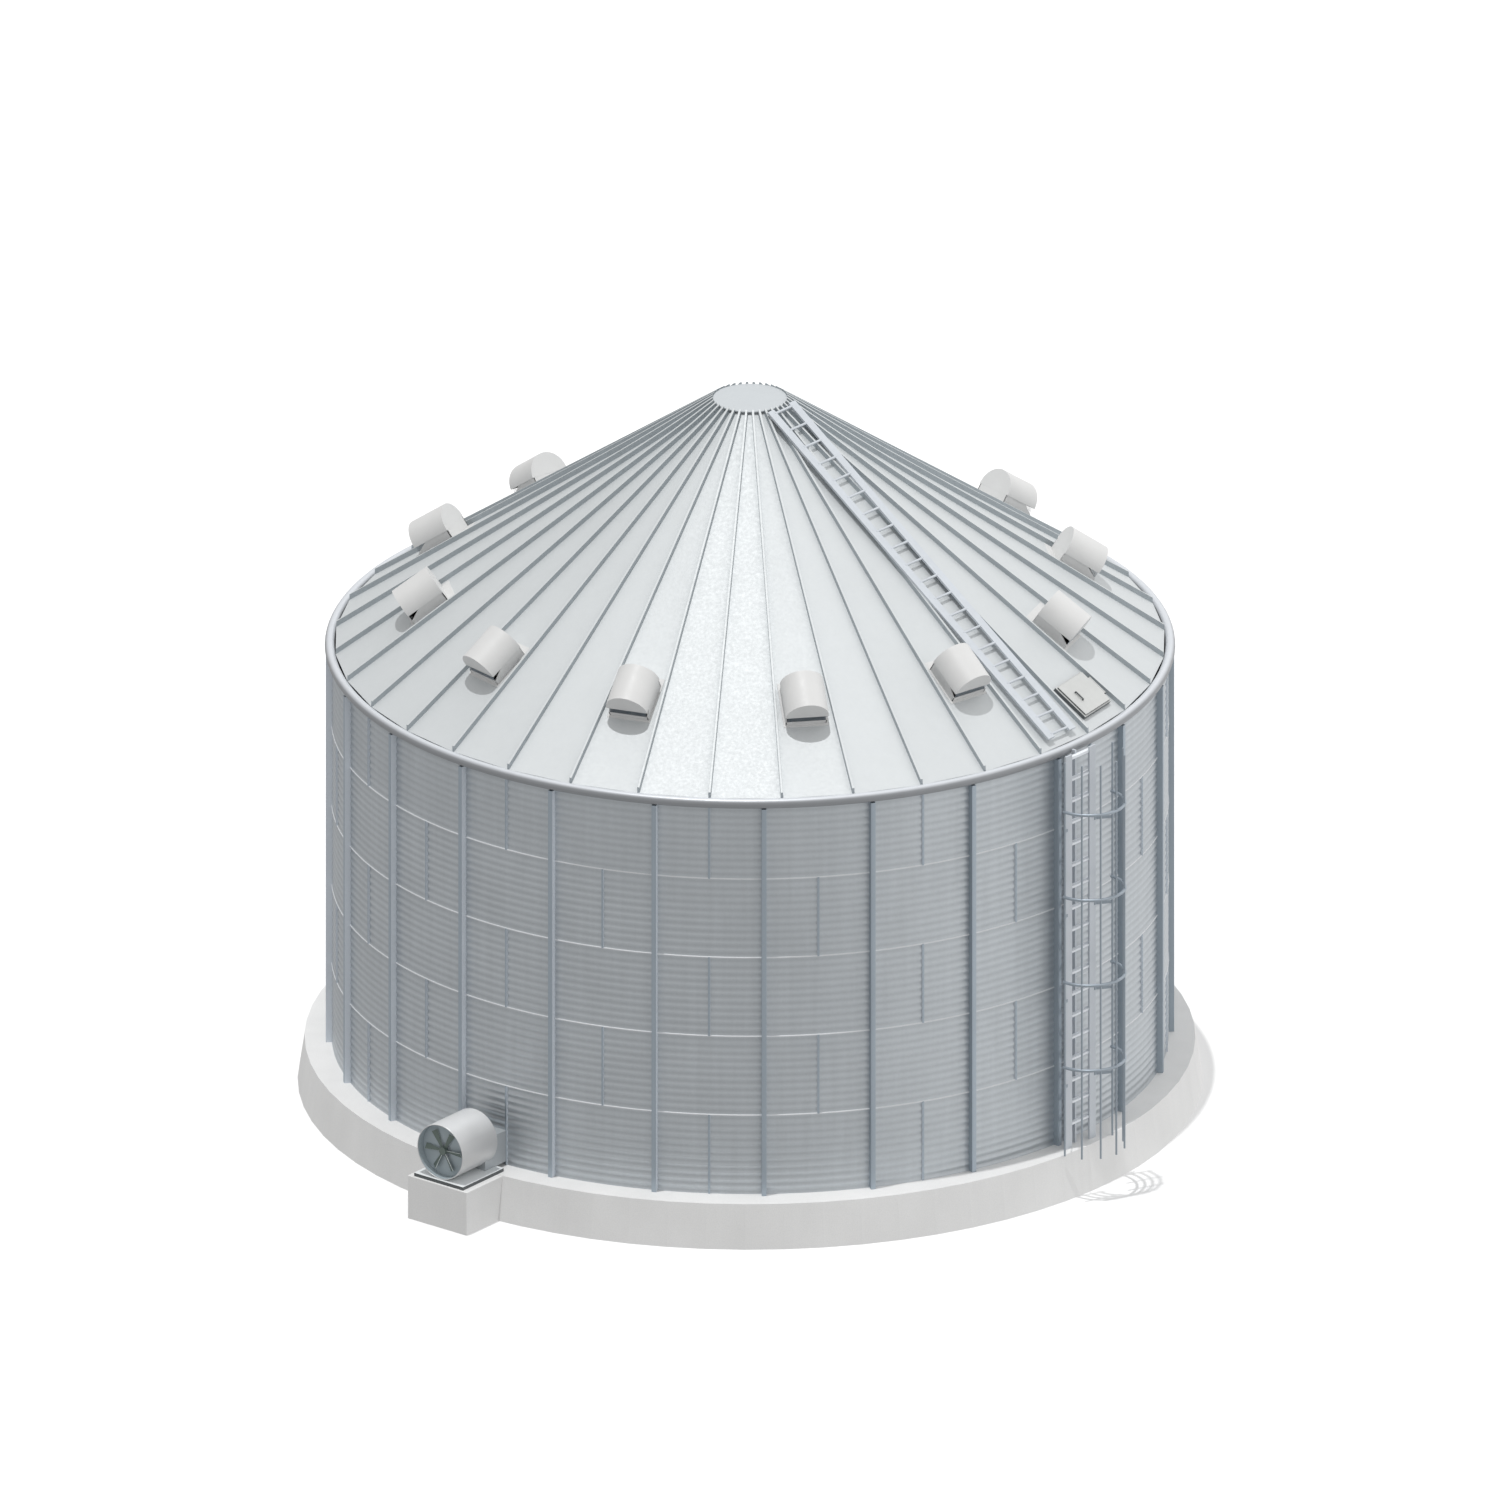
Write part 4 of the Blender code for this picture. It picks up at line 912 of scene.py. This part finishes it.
def add_hood(shape, outer, inner):
    """The hood's shell: an outer and an inner skin with closed ends, joined along the foot."""
    base = len(shape.points)
    count = len(outer[0])
    for row in (*outer, *inner):
        shape.points += [Vector(p) for p in row]
    front, back, inner_back, inner_front = (base + k * count for k in range(4))
    for i in range(count - 1):
        shape.faces.append((front + i, front + i + 1, back + i + 1, back + i))
        shape.faces.append((inner_back + i, inner_back + i + 1, inner_front + i + 1, inner_front + i))
    shape.faces.append(tuple(front + i for i in range(count)))
    shape.faces.append(tuple(back + i for i in reversed(range(count))))
    shape.faces.append(tuple(inner_back + i for i in range(count)))
    shape.faces.append(tuple(inner_front + i for i in reversed(range(count))))
    last = count - 1
    shape.faces.append((front, back, inner_back, inner_front))
    shape.faces.append((front + last, inner_front + last, inner_back + last, back + last))
    shape.faces.append((front, inner_front, inner_front + last, front + last))
    shape.faces.append((back, back + last, inner_back + last, inner_back))


def build_vents(materials):
    mesh = vent_mesh(materials["white"], materials["cage"])
    for number, bearing in enumerate(vent_places(), 1):
        item = place_mesh(
            f"vent_{number:02d}", mesh, matrix=on_panel(bearing, VENT_OUT, SEAT)
        )
        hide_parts(f"roof_vent_{number:02d}")


def chamfered(shape, low, high, edge):
    """A box whose upper edges are cut off at a slant."""
    def ring(inset, z):
        return [
            (low[0] + inset, low[1] + inset, z), (high[0] - inset, low[1] + inset, z),
            (high[0] - inset, high[1] - inset, z), (low[0] + inset, high[1] - inset, z),
        ]

    shape.loft([ring(0, low[2]), ring(0, high[2] - edge), ring(edge, high[2])])


def build_hatch_frame(materials):
    """The hatch's curb, light on top with painted shade on its sides, and the hinge's dark lugs."""
    half_x, half_y = (side / 2 for side in HATCH_CURB)
    hole_x, hole_y = half_x - HATCH_CURB_SHEET, half_y - HATCH_CURB_SHEET
    edge, high = HATCH_CURB_EDGE, HATCH_CURB_HEIGHT
    steps = (
        (hole_x, hole_y, 0), (half_x, half_y, 0), (half_x, half_y, high - edge),
        (half_x - edge, half_y - edge, high), (hole_x, hole_y, high),
    )
    shape = Shape().loft([rectangle(x, -y, y, z) for x, y, z in steps], wrap=True)
    # The curb's upright sides take the dark steel: painted shade
    shape.mark_upright()
    start = len(shape.faces)
    middle = high + LID_CLEARANCE + HATCH_LID[2] / 2
    barrel = HINGE_BARREL_LENGTH / 2 + SEAT
    for side in (-1, 1):
        ys = sorted((side * barrel, side * (barrel + HINGE_LUG)))
        shape.box(
            (half_x - HINGE_LUG_LAP, ys[0], high - HINGE_LUG_FOOT),
            (HATCH_HINGE_SIDE + HINGE_BARREL_RADIUS, ys[1], middle + HINGE_BARREL_RADIUS),
        )
    shape.second.update(range(start, len(shape.faces)))
    piece = shape.piece(
        "hatch_curb", materials["lid"], "galvanised_frame",
        matrix=on_panel(HATCH_BEARING, HATCH_OUT, SEAT), second=materials["dark"],
    )
    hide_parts("hatch_frame")


def build_roof_ladder(materials):
    """Two flat rails with rounded rungs let into them, resting on the ribs."""
    middle_out = (ROOF_LADDER_TOP_OUT + ROOF_LADDER_FOOT_OUT) / 2
    half = (ROOF_LADDER_FOOT_OUT - ROOF_LADDER_TOP_OUT) / 2 / math.cos(ROOF_PITCH)
    half_step = math.radians(RIB_STEP / 2)
    lift = RIB_HEIGHT + RIB_WIDTH / 2 * math.sin(half_step) * math.sin(ROOF_PITCH) + SEAT
    place = on_panel(LADDER_BEARING, middle_out, lift)
    shape = Shape()
    for low, high in ((-ROOF_RAIL_OUTER, -ROOF_RAIL_INNER), (ROOF_RAIL_INNER, ROOF_RAIL_OUTER)):
        chamfered(shape, (low, -half, 0), (high, half, ROOF_RAIL_THICKNESS), ROOF_RAIL_EDGE)
    count = int((2 * half - RUNG_HEIGHT) / RUNG_STEP)
    reach = ROOF_RAIL_INNER + ROOF_RUNG_LAP
    middle = ROOF_RAIL_THICKNESS - ROOF_RUNG_RADIUS + ROOF_RUNG_PROUD
    for k in range(count + 1):
        y = (k - count / 2) * RUNG_STEP
        shape.rod((-reach, y, middle), (reach, y, middle), ROOF_RUNG_RADIUS, ROOF_RUNG_SIDES)
    piece = shape.piece("roof_ladder_steel", materials["ladder"], "galvanised_frame", matrix=place)
    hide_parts("roof_ladder")


def build_side_rungs(materials):
    """Sleeves over the side ladder's rungs, with their front edges cut off at a slant, in a pale steel
    that paints light on them.
    """
    shape = Shape()
    edge = SIDE_RUNG_EDGE
    low, high = -SIDE_RUNG_HEIGHT / 2 - SIDE_RUNG_SKIN, SIDE_RUNG_HEIGHT / 2 + SIDE_RUNG_SKIN
    front, back = -SIDE_RUNG_OUT[1] - SIDE_RUNG_SKIN, -SIDE_RUNG_OUT[0] + SIDE_RUNG_SKIN
    for k in range(SIDE_RUNGS):
        up = SIDE_RUNG_FIRST + k * RUNG_STEP
        outline = [
            (front + edge, low), (back, low), (back, high), (front + edge, high), (front, high - edge),
            (front, low + edge),
        ]
        shape.loft([[(x, y, up + z) for y, z in outline] for x in (-SIDE_RUNG_REACH, SIDE_RUNG_REACH)])
    place = turned_to(LADDER_BEARING, FLOOR_UP)
    shape.piece("side_ladder_rungs", materials["rung"], "galvanised_frame", matrix=place)


def build_lid(materials):
    """The hatch lid with painted shade on its edges, its hinge barrel and its dark handle."""
    half_x, half_y, thickness = HATCH_LID[0] / 2, HATCH_LID[1] / 2, HATCH_LID[2]
    low = HATCH_CURB_HEIGHT + LID_CLEARANCE
    high = low + thickness
    middle = low + thickness / 2
    place = on_panel(HATCH_BEARING, HATCH_OUT, SEAT)
    shape = Shape()
    chamfered(shape, (-half_x, -half_y, low), (half_x, half_y, high), HATCH_LID_EDGE)
    # The lid's upright sides take the dark steel: painted shade
    shape.mark_upright()
    barrel = HINGE_BARREL_LENGTH / 2
    shape.box(
        (half_x - HINGE_LEAF_LAP, -barrel, middle - HINGE_LEAF),
        (HATCH_HINGE_SIDE, barrel, middle + HINGE_LEAF),
    )
    ends = [(HATCH_HINGE_SIDE, y, middle) for y in (-barrel, barrel)]
    shape.rod(*ends, HINGE_BARREL_RADIUS, HINGE_SIDES)
    start = len(shape.faces)
    bar, length = HANDLE_BAR / 2, HANDLE_LENGTH / 2
    top = high + HANDLE_RISE
    grip = (HANDLE_SIDE - bar, HANDLE_SIDE + bar)
    shape.box((grip[0], -length, top - HANDLE_THICKNESS), (grip[1], length, top))
    foot_top = top - HANDLE_THICKNESS / 2
    for foot in (-length, length - HANDLE_BAR):
        shape.box((grip[0], foot, high - HANDLE_FOOT_SUNK), (grip[1], foot + HANDLE_BAR, foot_top))
    shape.second.update(range(start, len(shape.faces)))
    piece = shape.piece(
        "lid_sheet", materials["lid"], "galvanised_frame", "hatch_lid",
        matrix=place, second=materials["dark"],
    )
    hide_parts("hatch_lid")


def cage_point(angle, radius=CAGE_RADIUS):
    """A place on the cage's half circle, which starts at its left end."""
    turn = math.radians(angle)
    return -radius * math.cos(turn), -CAGE_OUT - radius * math.sin(turn)


def build_cage(materials):
    """Round hoops on seven upright bars, with flat stays to the ladder's rails."""
    shape = Shape()
    levels = [CAGE_HOOP_FIRST + k * CAGE_HOOP_STEP for k in range(CAGE_HOOPS)]
    for up in levels:
        rows = []
        for angle in evenly(-CAGE_HOOP_END, 180 + CAGE_HOOP_END, CAGE_HOOP_STEPS):
            rows.append([
                (*cage_point(angle, CAGE_RADIUS + out), up + rise)
                for out, rise, _ in circle(CAGE_HOOP_TUBE, 0, CAGE_HOOP_SIDES)
            ])
        shape.loft(rows)
    for angle in evenly(0, 180, CAGE_BARS):
        x, y = cage_point(angle)
        shape.rod((x, y, SEAT), (x, y, CAGE_TOP), CAGE_BAR_TUBE)
    thickness, height = CAGE_STAY
    for up in levels:
        low, high = up - CAGE_STAY_DROP - height / 2, up - CAGE_STAY_DROP + height / 2
        for sign in (-1, 1):
            foot_x, foot_y = sign * (RAIL_OUTER - CAGE_STAY_LAP), -RAIL_FACE
            corner = sign * RAIL_OUTER
            outline = [
                (foot_x, foot_y), (foot_x, foot_y - thickness), (corner, foot_y - thickness),
                (sign * CAGE_RADIUS, -CAGE_OUT - thickness / 2),
                (sign * CAGE_RADIUS, -CAGE_OUT + thickness / 2),
                (corner + sign * thickness / 2, foot_y),
            ]
            shape.loft([[(x, y, z) for x, y in outline] for z in (low, high)])
    place = turned_to(LADDER_BEARING, FLOOR_UP)
    piece = shape.piece("safety_cage", materials["cage"], "galvanised_frame", matrix=place)
    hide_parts(*(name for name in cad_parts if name.startswith("cage_")))


def fan_frame(out=0.0):
    """The frame on the fan's axis: +Z points out of the mouth and +Y points up."""
    lie_down = Matrix.Rotation(math.radians(90), 4, "X")
    return turned_to(FAN_BEARING, FAN_AXIS_UP) @ Matrix.Translation((0, -out, 0)) @ lie_down


def build_fan_housing(materials):
    """The drum, grey inside, with a rolled bead round its mouth and a rounded back edge."""
    back, mouth = DRUM_OUT
    radius, sheet = DRUM_RADIUS, DRUM_SHEET
    section = [
        (DRUM_BACK_HOLE, back + sheet), (radius - sheet, back + sheet),
        (radius - sheet, mouth - DRUM_BEAD_START),
    ]
    for angle in evenly(180, 0, DRUM_BEAD_STEPS):
        turn = math.radians(angle)
        out = radius - sheet / 2 + sheet / 2 * math.cos(turn)
        section.append((out, mouth - DRUM_BEAD + DRUM_BEAD * math.sin(turn)))
    for angle in evenly(0, -90, CORNER_STEPS):
        turn = math.radians(angle)
        out = radius - DRUM_CORNER + DRUM_CORNER * math.cos(turn)
        section.append((out, back + DRUM_CORNER + DRUM_CORNER * math.sin(turn)))
    section.append((DRUM_BACK_HOLE, back))
    shape = Shape().loft([circle(r, z, DRUM_SIDES) for r, z in section], wrap=True)
    inside = range(2 * DRUM_SIDES)
    shape.second.update(inside)
    piece = shape.piece(
        "fan_drum", materials["drum"], "white_painted_steel", matrix=fan_frame(), second=materials["disc"]
    )
    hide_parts("fan_housing")


def build_fan_disc(materials):
    """The disc that shows behind the rotor."""
    inner, outer = DISC_HOLE, DRUM_RADIUS - DRUM_SHEET - DISC_CLEARANCE
    front = ROTOR_OUT[0] - DISC_CLEARANCE
    back = front - DISC_THICKNESS
    section = ((inner, back), (outer, back), (outer, front), (inner, front))
    shape = Shape().loft([circle(r, z, DRUM_SIDES) for r, z in section], wrap=True)
    shape.piece("fan_disc", materials["disc"], "white_painted_steel", matrix=fan_frame())


def build_base_plate(materials):
    """The plate under the fan: a pale top that paints light over the drum's shadow, and painted shade
    round its edge.
    """
    shape = Shape()
    low = (-BASE_HALF, -BASE_OUT[1], FLOOR_UP + SEAT)
    high = (BASE_HALF, -BASE_OUT[0], FLOOR_UP + SEAT + BASE_THICKNESS)
    chamfered(shape, low, high, BASE_EDGE)
    # The plate's upright sides take the dark steel: painted shade
    shape.mark_upright()
    piece = shape.piece(
        "base_plate", materials["plate"], "galvanised_frame",
        matrix=turned_to(FAN_BEARING), second=materials["dark"],
    )
    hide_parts("fan_base_plate")


def build_rotor(materials):
    """The hub and its blades, dark on their flats, with a painted highlight along their edges."""
    depth = ROTOR_OUT[1] - ROTOR_OUT[0]
    section = ((HUB_RADIUS, 0), (HUB_RADIUS, depth - HUB_EDGE), (HUB_RADIUS - HUB_EDGE, depth))
    shape = Shape().loft([circle(r, z, HUB_SIDES) for r, z in section])
    half = BLADE_THICKNESS / 2
    for k in range(BLADES):
        turn = Matrix.Rotation(2 * math.pi * k / BLADES, 4, "Z")
        place = Matrix.Translation((0, 0, depth / 2)) @ turn @ Matrix.Rotation(BLADE_PITCH, 4, "X")
        loops = []
        for reach, width in zip((BLADE_ROOT, BLADE_TIP), BLADE_WIDTHS):
            w = width / 2
            loops.append([(reach, -w, -half), (reach, w, -half), (reach, w, half), (reach, -w, half)])
        start = len(shape.faces)
        shape.loft(loops, place=place)
        # The blades' thin edges and tips take the pale paint: a painted highlight
        painted_highlight_faces = (start + 1, start + 3, start + 5)
        shape.second.update(painted_highlight_faces)
    piece = shape.piece(
        "rotor", materials["fan"], "dark_fan", "fan_rotor",
        matrix=fan_frame(ROTOR_OUT[0]), second=materials["edge"],
    )
    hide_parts("fan_rotor")


def dress_nodes(materials):
    """Gives the nodes that are carried over their materials, and rounds the plinth's edges."""
    for name, material in (
        ("foundation", "concrete"), ("fan_plinth", "concrete"), ("side_ladder", "ladder"),
        ("fan_duct", "duct"), ("fan_motor", "motor"),
    ):
        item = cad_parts[name]
        item.data.materials.clear()
        item.data.materials.append(materials[material])
    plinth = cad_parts["fan_plinth"]
    weld = plinth.modifiers.new("weld", "WELD")
    weld.merge_threshold = PLINTH_WELD
    step = plinth.modifiers.new("edges", "BEVEL")
    step.width = PLINTH_EDGE
    step.segments = PLINTH_EDGE_STEPS
    step.limit_method = "ANGLE"
    step.angle_limit = PLINTH_EDGE_ANGLE
    step.harden_normals = True


def build_floor():
    """A pale floor with painted shade that darkens it to the right, and that throws no light back at the
    silo.
    """
    mesh = bpy.data.meshes.new("floor")
    mesh.from_pydata(rectangle(FLOOR_RADIUS, -FLOOR_RADIUS, FLOOR_RADIUS, 0), [], [(0, 1, 2, 3)])
    floor = bpy.data.objects.new("floor", mesh)
    bpy.context.scene.collection.objects.link(floor)
    material, tree, shader = new_material("pale_floor", WHITE, FLOOR_ROUGHNESS, 0.0)
    split = tree.nodes.new("ShaderNodeSeparateXYZ")
    link(tree, tree.nodes.new("ShaderNodeTexCoord").outputs["Object"], split.inputs["Vector"])
    # Painted shade: the floor darkens towards +X, deepening the silo's shadow there
    tone = spread(tree, split.outputs["X"], *FLOOR_SHADE_TONES, *FLOOR_SPAN)
    link(tree, tint(tree, WHITE, tone), shader.inputs["Base Color"])
    shader.inputs["Specular IOR Level"].default_value = 0.0
    shader.inputs["Emission Color"].default_value = (*WHITE, 1)
    shader.inputs["Emission Strength"].default_value = FLOOR_GLOW
    mesh.materials.append(material)
    floor.visible_diffuse = False
    floor.visible_glossy = False
    floor.visible_transmission = False
    floor.visible_shadow = False


def build_camera():
    data = bpy.data.cameras.new("camera")
    data.type = "ORTHO"
    data.ortho_scale = PHOTO_PIXELS / PIXELS_PER_METRE
    data.clip_end = CAMERA_REACH
    camera = bpy.data.objects.new("camera", data)
    bpy.context.scene.collection.objects.link(camera)
    back = Vector((
        math.sin(VIEW_AZIMUTH) * math.cos(VIEW_ELEVATION),
        -math.cos(VIEW_AZIMUTH) * math.cos(VIEW_ELEVATION),
        math.sin(VIEW_ELEVATION),
    ))
    camera.location = Vector((0, 0, AIM_UP)) + CAMERA_BACK * back
    camera.rotation_euler = (-back).to_track_quat("-Z", "Y").to_euler()
    bpy.context.scene.camera = camera


def from_view(right, away, up):
    """A direction given as seen in the photograph, turned into the silo's own axes."""
    cos, sin = math.cos(VIEW_AZIMUTH), math.sin(VIEW_AZIMUTH)
    return Vector((right * cos - away * sin, right * sin + away * cos, up))


def add_stops(ramp, stops):
    """Sets a ramp's stops, each (position, grey)."""
    while len(ramp.elements) < len(stops):
        ramp.elements.new(0.5)
    for element, (position, grey) in zip(ramp.elements, stops):
        element.position = position
        element.color = (grey, grey, grey, 1)


def build_lights():
    """A sun almost overhead and a studio that grows lighter towards the right and upwards."""
    sun_data = bpy.data.lights.new("sun", "SUN")
    sun_data.energy = SUN_STRENGTH
    sun_data.angle = SUN_ANGLE
    sun = bpy.data.objects.new("sun", sun_data)
    bpy.context.scene.collection.objects.link(sun)
    sun.rotation_euler = from_view(*SUN_HEADING).to_track_quat("-Z", "Y").to_euler()
    world = bpy.data.worlds.new("studio")
    bpy.context.scene.world = world
    world.use_nodes = True
    tree = world.node_tree
    sky = tree.nodes["Background"]
    place = tree.nodes.new("ShaderNodeTexCoord").outputs["Generated"]
    across = tree.nodes.new("ShaderNodeVectorMath")
    across.operation = "DOT_PRODUCT"
    across.inputs[1].default_value = from_view(*SKY_HEADING)
    link(tree, place, across.inputs[0])
    side = spread(tree, across.outputs["Value"], 0, 1, -1, 1)
    side_ramp = tree.nodes.new("ShaderNodeValToRGB")
    add_stops(side_ramp.color_ramp, SKY_STOPS)
    link(tree, side, side_ramp.inputs["Fac"])
    split = tree.nodes.new("ShaderNodeSeparateXYZ")
    link(tree, place, split.inputs["Vector"])
    lift = spread(tree, split.outputs["Z"], *SKY_LIFT, *SKY_LIFT_SPAN)
    brightness = product(tree, side_ramp.outputs["Color"], lift)
    link(tree, brightness, sky.inputs["Strength"])
    sky.inputs["Color"].default_value = (*WHITE, 1)


def main():
    scene = bpy.context.scene
    scene.view_settings.view_transform = "Standard"
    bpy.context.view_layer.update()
    materials = make_materials()
    build_camera()
    build_lights()
    build_floor()
    build_wall(materials)
    build_stiffeners(materials)
    build_eave(materials)
    build_roof(materials)
    build_cap(materials)
    build_vents(materials)
    build_hatch_frame(materials)
    build_lid(materials)
    build_roof_ladder(materials)
    build_side_rungs(materials)
    build_cage(materials)
    build_fan_housing(materials)
    build_fan_disc(materials)
    build_base_plate(materials)
    build_rotor(materials)
    dress_nodes(materials)
    bpy.context.view_layer.update()


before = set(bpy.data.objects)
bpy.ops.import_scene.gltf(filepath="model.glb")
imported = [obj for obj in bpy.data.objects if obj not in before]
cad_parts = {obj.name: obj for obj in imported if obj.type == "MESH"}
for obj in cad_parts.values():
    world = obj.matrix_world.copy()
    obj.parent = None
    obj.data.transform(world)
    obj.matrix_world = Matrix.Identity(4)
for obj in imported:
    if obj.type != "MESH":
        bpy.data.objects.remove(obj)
main()
